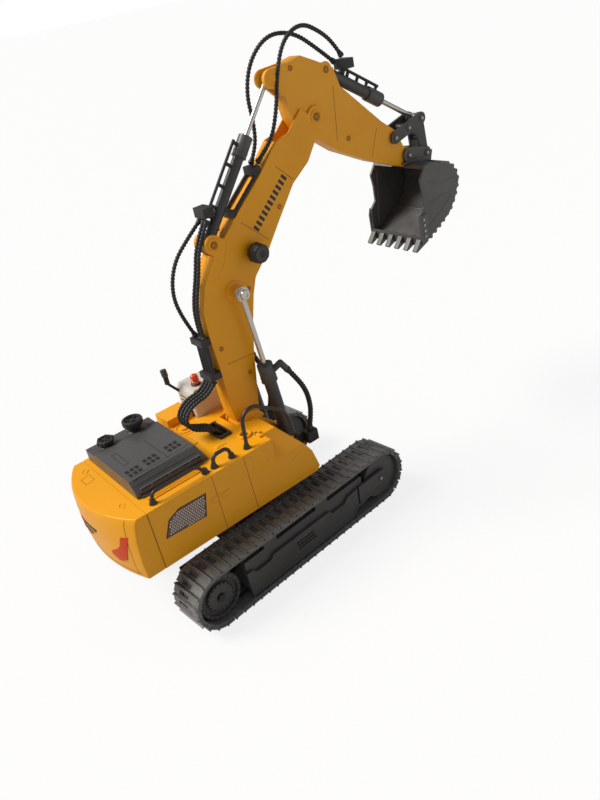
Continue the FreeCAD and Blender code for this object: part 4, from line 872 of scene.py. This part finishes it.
def makeStickTrim():
    bm = bmesh.new()
    half = arm["stickHalf"]
    for x, z in arm["stickScrews"]:
        addScrew(bm, (x, half, z), (0, 1, 0), 2.4)
    addScrew(bm, (arm["bucketBase"][0], half, arm["bucketBase"][1]), (0, 1, 0), 3.0)
    for a, b in arm["stickSeams"]:
        paint(addStrip(bm, (a[0], half, a[1]), (b[0], half, b[1]), (0, 1, 0), 0.45, 0.06), 1)
    addTurned(bm, [(4.6, -0.3), (4.6, 0.3), (4.2, 0.5), (3.4, 0.5), (3.0, 0.1), (0, 0.1)],
              (arm["stickHorn"][0], half, arm["stickHorn"][1]), (0, 1, 0), 24)
    mirroredY(bm)
    finishMesh(bm, "stickTrim", (bodyYellow, seamBrown), "stick", "body_yellow")
    # hex bolts over the rocker, link and bucket pins
    for name, body, places in (("rockerBolts", "rocker_arm", [(*arm["rockerPivot"], 9.9),
                                                              (*arm["rockerEnd"], 9.9), (255, 314.5, 9.9)]),
                               ("bucketBolts", "bucket_body", [(*arm["bucketPivot"], 9.9),
                                                               (*arm["linkPivot"], 9.9)])):
        bm = bmesh.new()
        for x, z, y in places:
            addTurned(bm, [(0, -0.2), (3.4, -0.2), (3.4, 0.4), (3.1, 0.6), (0, 0.6)], (x, y, z), (0, 1, 0),
                      24)
            paint(addTurned(bm, [(1.7, 0.5), (1.7, 1.3), (1.4, 1.6), (0, 1.6)], (x, y, z), (0, 1, 0), 6), 1)
        mirroredY(bm)
        finishMesh(bm, name, (cylinderGrey, pinSteel), body, "cylinder_grey")


def addRingBand(bm, a, b, run, length, inner, outer, y=0.0):
    # a collar round a cylinder, with rounded shoulders
    base, direction = alongLine(a, b, run, y), alongLine(a, b, run + 1, y) - alongLine(a, b, run, y)
    soft = min(0.4, length / 4)
    return addTurned(bm, [(inner, 0), (outer - soft, 0), (outer, soft), (outer, length - soft),
                          (outer - soft, length), (inner, length)], base, direction, 32)


def makeCylinderTrim():
    cylinders = (("liftBarrelRings", "lift_barrel_pair", arm["liftBase"], arm["liftPin"], 5.8, 82.0,
                  arm["liftOffset"], 1.8), ("stickBarrelRings", "stick_cylinder", arm["stickBase"],
                                            arm["stickHorn"], 4.6, 91.0, 0.0, 1.8),
                 ("bucketBarrelRings", "bucket_cylinder", arm["bucketBase"], arm["rockerEnd"], 5.0, 74.0, 0.0,
                  1.2))
    for name, body, a, b, radius, length, y, flange in cylinders:
        bm = bmesh.new()
        addRingBand(bm, a, b, length - 1.6, 2.2, radius - 1.2, radius + 0.5, y)
        addRingBand(bm, a, b, length - 17.6, 1.4, radius - 0.4, radius + flange, y)
        addRingBand(bm, a, b, length - 13.6, 1.0, radius - 0.4, radius + flange - 0.1, y)
        addRingBand(bm, a, b, 13.0, 2.0, radius - 0.4, radius + flange - 1.1, y)
        if y:
            mirroredY(bm)
        finishMesh(bm, name, cylinderGrey, body, "cylinder_grey")


def makeSleeves():
    # crimped sleeves where each hose leaves a block, clamp or elbow
    pitch = hose["pitch"]
    ends = {"boom": [], "house": [], "stick_cylinder": [], "lift_barrel_pair": [], "bucket_cylinder": []}
    for i in range(4):
        route = shifted(hoseRoutes["deck"], (i - 1.5) * pitch)
        ends["boom"].append((route[0], route[1], 1.8))
        ends["house"].append((route[-1], route[-2], 1.8))
    for route in (hoseRoutes["stickOuter"], hoseRoutes["stickInner"],
                  shifted(hoseRoutes["stickInner"], -pitch)):
        ends["stick_cylinder"].append((route[0], route[1], 1.8))
        ends["boom"].append((route[-1], route[-2], 1.8))
    for route in (hoseRoutes["loopA"], hoseRoutes["loopB"]):
        ends["boom"].append((route[0], route[1], 1.8))
        ends["bucket_cylinder"].append((route[-1], route[-2], 1.8))
    for side in (1, -1):
        route = shifted(hoseRoutes["lift"], 0, side)
        ends["lift_barrel_pair"].append((route[0], route[1], 2.52))
        ends["house"].append((route[-1], route[-2], 2.52))
    for body, places in ends.items():
        bm = bmesh.new()
        for start, toward, radius in places:
            direction = Vector(toward) - Vector(start)
            addTurned(bm, [(radius - 0.2, -0.6), (radius + 0.6, -0.6), (radius + 0.75, 0),
                           (radius + 0.75, 1.6), (radius + 0.3, 2.0), (radius + 0.3, 3.2),
                           (radius + 0.1, 3.6), (radius - 0.2, 3.6)], start, direction, 16)
        finishMesh(bm, "hoseSleeves_" + body, softBlack, body, "black_plastic")


bucket = {"half": 34.0, "ribs": 13,
          "back": [(278, 276.4), (286, 271), (290.2, 262), (288, 250), (279, 235), (263, 223.4), (246, 215)],
          "bolts": [(236.2, 235), (236.4, 229.5), (236.6, 224), (236.8, 218.5)]}


def makeBucketTrim():
    bm = bmesh.new()
    half = bucket["half"]
    lengths = [(Vector(b) - Vector(a)).length for a, b in zip(bucket["back"], bucket["back"][1:])]
    for i in range(bucket["ribs"]):
        run = sum(lengths) * i / (bucket["ribs"] - 1)
        for (a, b), length in zip(zip(bucket["back"], bucket["back"][1:]), lengths):
            if run <= length + 1e-6:
                break
            run -= length
        x, z = Vector(a).lerp(Vector(b), min(1.0, run / length))
        addRod(bm, (x, -half - 0.1, z), (x, half + 0.1, z), 2.1, 12)
    for side in (1, -1):
        for x, z in bucket["bolts"]:
            paint(addTurned(bm, [(1.5, -0.2), (1.5, 0.7), (1.2, 1.0), (0, 1.0)], (x, side * (half + 1.3), z),
                            (0, side, 0), 6), 1)
        for a, b in (((247, 268), (268, 261)), ((268, 261), (284, 262)), ((249, 246), (266, 250)),
                     ((266, 250), (280, 249)), ((241, 224), (264, 236)), ((264, 236), (279, 246))):
            addStrip(bm, (a[0], side * half, a[1]), (b[0], side * half, b[1]), (0, side, 0), 0.7, 0.35,
                     bevel=0.15)
        addStrip(bm, (246.5, side * 31.9, 274), (240.5, side * 31.9, 218), (0, -side, 0), 1.3, 0.6, bevel=0.2)
        addBlock(bm, (243, side * 9.4 - 3.2, 283.6), (262, side * 9.4 + 3.2, 285.2), 0.4)
    addBlock(bm, (233.5, -half + 1, 213.2), (236.5, half - 1, 214.8), 0.4)
    finishMesh(bm, "bucketTrim", (bucketGrey, pinSteel), "bucket_body", "bucket_steel")


makeBoomTrim()
makeStickTrim()
makeCylinderTrim()
makeBucketTrim()
print("arm trimmed")


# camera, light and floor

cameraView = {"place": (-0.26883, -0.52476, 0.4615), "turn": (59.761, 10.3, -39.495), "lens": 33.52,
              "sensor": 36.0}
studio = {"sky": (0.93, 0.95, 1.0), "skyPower": 0.3, "sunFrom": (-0.55, 0.42, 0.8), "sunPower": 3.3,
          "sunSoftness": 28.0, "floor": (0.5, 0.5, 0.49), "glow": 0.72}


def setCamera():
    lens = bpy.data.cameras.new("viewCamera")
    lens.lens = cameraView["lens"]
    lens.sensor_width = cameraView["sensor"]
    lens.clip_start = 0.01
    camera = bpy.data.objects.new("viewCamera", lens)
    camera.location = cameraView["place"]
    camera.rotation_euler = Euler([math.radians(a) for a in cameraView["turn"]])
    bpy.context.scene.collection.objects.link(camera)
    bpy.context.scene.camera = camera


def addSoftbox(name, place, aim, size, power, colour=(1, 1, 1)):
    light = bpy.data.lights.new(name, "AREA")
    light.shape = "RECTANGLE"
    light.size, light.size_y = size
    light.energy = power
    light.color = colour
    lamp = bpy.data.objects.new(name, light)
    lamp.location = place
    lamp.rotation_euler = (Vector(aim) - Vector(place)).to_track_quat("-Z", "Y").to_euler()
    bpy.context.scene.collection.objects.link(lamp)


def setSky():
    # soft white sky for lighting, plain white behind the model
    world = bpy.data.worlds.new("studioWorld")
    world.use_nodes = True
    tree = world.node_tree
    soft = tree.nodes["Background"]
    soft.inputs["Color"].default_value = (*studio["sky"], 1)
    soft.inputs["Strength"].default_value = studio["skyPower"]
    plain, ray, both = (tree.nodes.new(kind) for kind in ("ShaderNodeBackground", "ShaderNodeLightPath",
                                                          "ShaderNodeMixShader"))
    plain.inputs["Color"].default_value = (1, 1, 1, 1)
    tree.links.new(ray.outputs["Is Camera Ray"], both.inputs["Fac"])
    tree.links.new(soft.outputs["Background"], both.inputs[1])
    tree.links.new(plain.outputs["Background"], both.inputs[2])
    tree.links.new(both.outputs["Shader"], tree.nodes["World Output"].inputs["Surface"])
    bpy.context.scene.world = world


def floorMaterial():
    # paper that keeps a faint shadow but looks white from the camera
    tones = (studio["floor"], tuple(c * 0.98 for c in studio["floor"]))
    material = mouldedMaterial("floorPaper", tones, (0.7, 0.8), 0.05)
    tree = material.node_tree
    ray, glow, both, share = (tree.nodes.new(kind) for kind in ("ShaderNodeLightPath", "ShaderNodeEmission",
                                                                "ShaderNodeMixShader", "ShaderNodeMath"))
    share.operation = "MULTIPLY"
    share.inputs[1].default_value = studio["glow"]
    tree.links.new(ray.outputs["Is Camera Ray"], share.inputs[0])
    tree.links.new(share.outputs["Value"], both.inputs["Fac"])
    tree.links.new(tree.nodes["Principled BSDF"].outputs["BSDF"], both.inputs[1])
    tree.links.new(glow.outputs["Emission"], both.inputs[2])
    tree.links.new(both.outputs["Shader"], tree.nodes["Material Output"].inputs["Surface"])
    glow.inputs["Strength"].default_value = 1.15
    return material


def setStudio():
    bpy.context.scene.view_settings.view_transform = "Standard"
    setSky()
    sun = bpy.data.lights.new("keySun", "SUN")
    sun.energy = studio["sunPower"]
    sun.angle = math.radians(studio["sunSoftness"])
    sun.color = (1.0, 0.97, 0.92)
    lamp = bpy.data.objects.new("keySun", sun)
    lamp.rotation_euler = Vector(studio["sunFrom"]).to_track_quat("Z", "Y").to_euler()
    bpy.context.scene.collection.objects.link(lamp)
    addSoftbox("sideSoftbox", (0.9, -1.2, 0.5), (0.05, 0, 0.15), (1.2, 0.9), 1.5)
    bm = bmesh.new()
    bmesh.ops.create_grid(bm, x_segments=1, y_segments=1, size=40.0)
    mesh = bpy.data.meshes.new("paleFloor")
    bm.to_mesh(mesh)
    bm.free()
    floor = bpy.data.objects.new("paleFloor", mesh)
    bpy.context.scene.collection.objects.link(floor)
    mesh.materials.append(floorMaterial())


setCamera()
setStudio()
print("camera and studio set")


# hoses

hose = {"diameter": 3.6, "rib": 2.9, "ribDepth": 0.48, "sides": 12, "pitch": 4.4}
hoseRoutes = {"deck": [(-8.2, 0, 168.6), (-16, 0, 159.5), (-33, 1, 157.5), (-45, 0, 149), (-43, -3, 138),
                       (-32, -6, 133), (-22, -8, 129.5), (-18.6, -8, 121)],
              "stickOuter": [(23, 4, 301.6), (8, 6, 290), (-9, 7, 275), (-18, 7, 252), (-15, 6.6, 229),
                             (-7.5, 6.6, 209.6)], "stickInner": [(24, 0, 301), (10.5, -1, 285), (3, -2, 262),
                                                                 (-5.5, -2, 241), (-8, -2.2, 225),
                                                                 (-7.4, -2.2, 209.4)],
              "loopA": [(82.5, 4, 330), (92, 6.4, 340), (95.5, 7.4, 358), (94, 7.4, 382), (103, 6.4, 405),
                        (123, 5, 420), (148, 4, 417), (169, 3, 401.5), (186.6, 3, 386.5)],
              "loopB": [(84, -4, 331), (99, -6.4, 342), (110, -7.6, 366), (117, -7.4, 393), (130, -6, 415),
                        (151, -5, 423), (172, -3.5, 412), (184, -3, 401), (190.5, -3, 390.6)],
              "lift": [(54.4, 26.6, 157.4), (60, 29, 147), (67, 31.2, 131), (68.5, 31.6, 114),
                       (66, 31.4, 101), (62.4, 31.2, 90.5)]}


def splinePoints(points):
    # reads back the smooth line that a NURBS spline makes through its control points
    curve = bpy.data.curves.new("hoseLine", "CURVE")
    curve.dimensions = "3D"
    spline = curve.splines.new("NURBS")
    spline.points.add(len(points) - 1)
    for target, point in zip(spline.points, points):
        target.co = (*(Vector(point) * mm), 1)
    spline.order_u = 3
    spline.use_endpoint_u = True
    spline.resolution_u = 16
    line = bpy.data.objects.new("hoseLine", curve)
    bpy.context.scene.collection.objects.link(line)
    bpy.context.view_layer.update()
    mesh = bpy.data.meshes.new_from_object(line.evaluated_get(bpy.context.evaluated_depsgraph_get()))
    path = [v.co.copy() for v in mesh.vertices]
    bpy.data.objects.remove(line)
    bpy.data.curves.remove(curve)
    return path


def pathFrames(path):
    # running length, place and two cross directions at each point, carried along without twist
    across = (path[1] - path[0]).normalized().orthogonal().normalized()
    run, frames = 0.0, []
    for i, point in enumerate(path):
        ahead = (path[min(i + 1, len(path) - 1)] - path[max(i - 1, 0)]).normalized()
        across = (across - ahead * across.dot(ahead)).normalized()
        if i:
            run += (point - path[i - 1]).length
        frames.append((run, point, across, ahead.cross(across)))
    return frames


def atRun(frames, run):
    for (r0, p0, a0, b0), (r1, p1, a1, b1) in zip(frames, frames[1:]):
        if run <= r1 or r1 == frames[-1][0]:
            t = (run - r0) / (r1 - r0)
            return p0.lerp(p1, t), a0.lerp(a1, t).normalized(), b0.lerp(b1, t).normalized()


def corrugatedHose(name, route, body, replaced, diameter=None, blendTo=None):
    diameter = diameter or hose["diameter"]
    path = splinePoints(route)
    frames = pathFrames(path)
    length = frames[-1][0]
    ribs = max(6, round(length / (hose["rib"] * mm)))
    outer, inner = diameter / 2 * mm, (diameter / 2 - hose["ribDepth"]) * mm
    step = length / ribs
    profile = [(0, 0)]
    for i in range(ribs):
        profile += [(inner, i * step + 0.04 * step), (outer, i * step + 0.3 * step),
                    (outer, i * step + 0.7 * step), (inner, i * step + 0.96 * step)]
    profile.append((0, length))
    bm = bmesh.new()
    addTurned(bm, [(r / mm, h / mm) for r, h in profile], (0, 0, 0), (0, 0, 1), hose["sides"])
    for vert in bm.verts:
        place, across, up = atRun(frames, vert.co.z)
        vert.co = place + across * vert.co.x + up * vert.co.y
    piece = finishMesh(bm, name, hoseBlack, None if blendTo else body, "hose_rubber", replaced, 80.0, False)
    tuple(path[0])
    [tuple(p) for p in path]
    if blendTo:
        tuple(path[0])
        tuple(path[-1])
        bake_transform(piece)
    return piece


def shifted(route, dy, side=1):
    return [(x, side * y + dy, z) for x, y, z in route]


def makeHoses():
    # each runs from the body its first point stands on to the body at its other end, and is baked in place
    # without riding on either
    for i in range(4):
        dy = (i - 1.5) * hose["pitch"]
        corrugatedHose("deckHose%d" % (i + 1), shifted(hoseRoutes["deck"], dy), "boom",
                       ("deck_hose_%d" % (i + 1),), blendTo="house")
    corrugatedHose("stickHoseOuter", hoseRoutes["stickOuter"], "stick_cylinder", ("stick_hose_outer",),
                   blendTo="boom")
    corrugatedHose("stickHoseInner1", hoseRoutes["stickInner"], "stick_cylinder", ("stick_hose_inner_1",),
                   blendTo="boom")
    corrugatedHose("stickHoseInner2", shifted(hoseRoutes["stickInner"], -hose["pitch"]), "stick_cylinder",
                   ("stick_hose_inner_2",), blendTo="boom")
    corrugatedHose("loopHose1", hoseRoutes["loopA"], "boom", ("loop_hose_1",), blendTo="stick")
    corrugatedHose("loopHose2", hoseRoutes["loopB"], "boom", ("loop_hose_2",), blendTo="stick")
    for side, word in ((1, "left"), (-1, "right")):
        corrugatedHose("liftHose" + word.title(), shifted(hoseRoutes["lift"], 0, side), "lift_barrel_pair",
                       ("lift_hose_" + word,), diameter=5.04, blendTo="house")


makeHoses()
makeSleeves()
print("hoses laid")
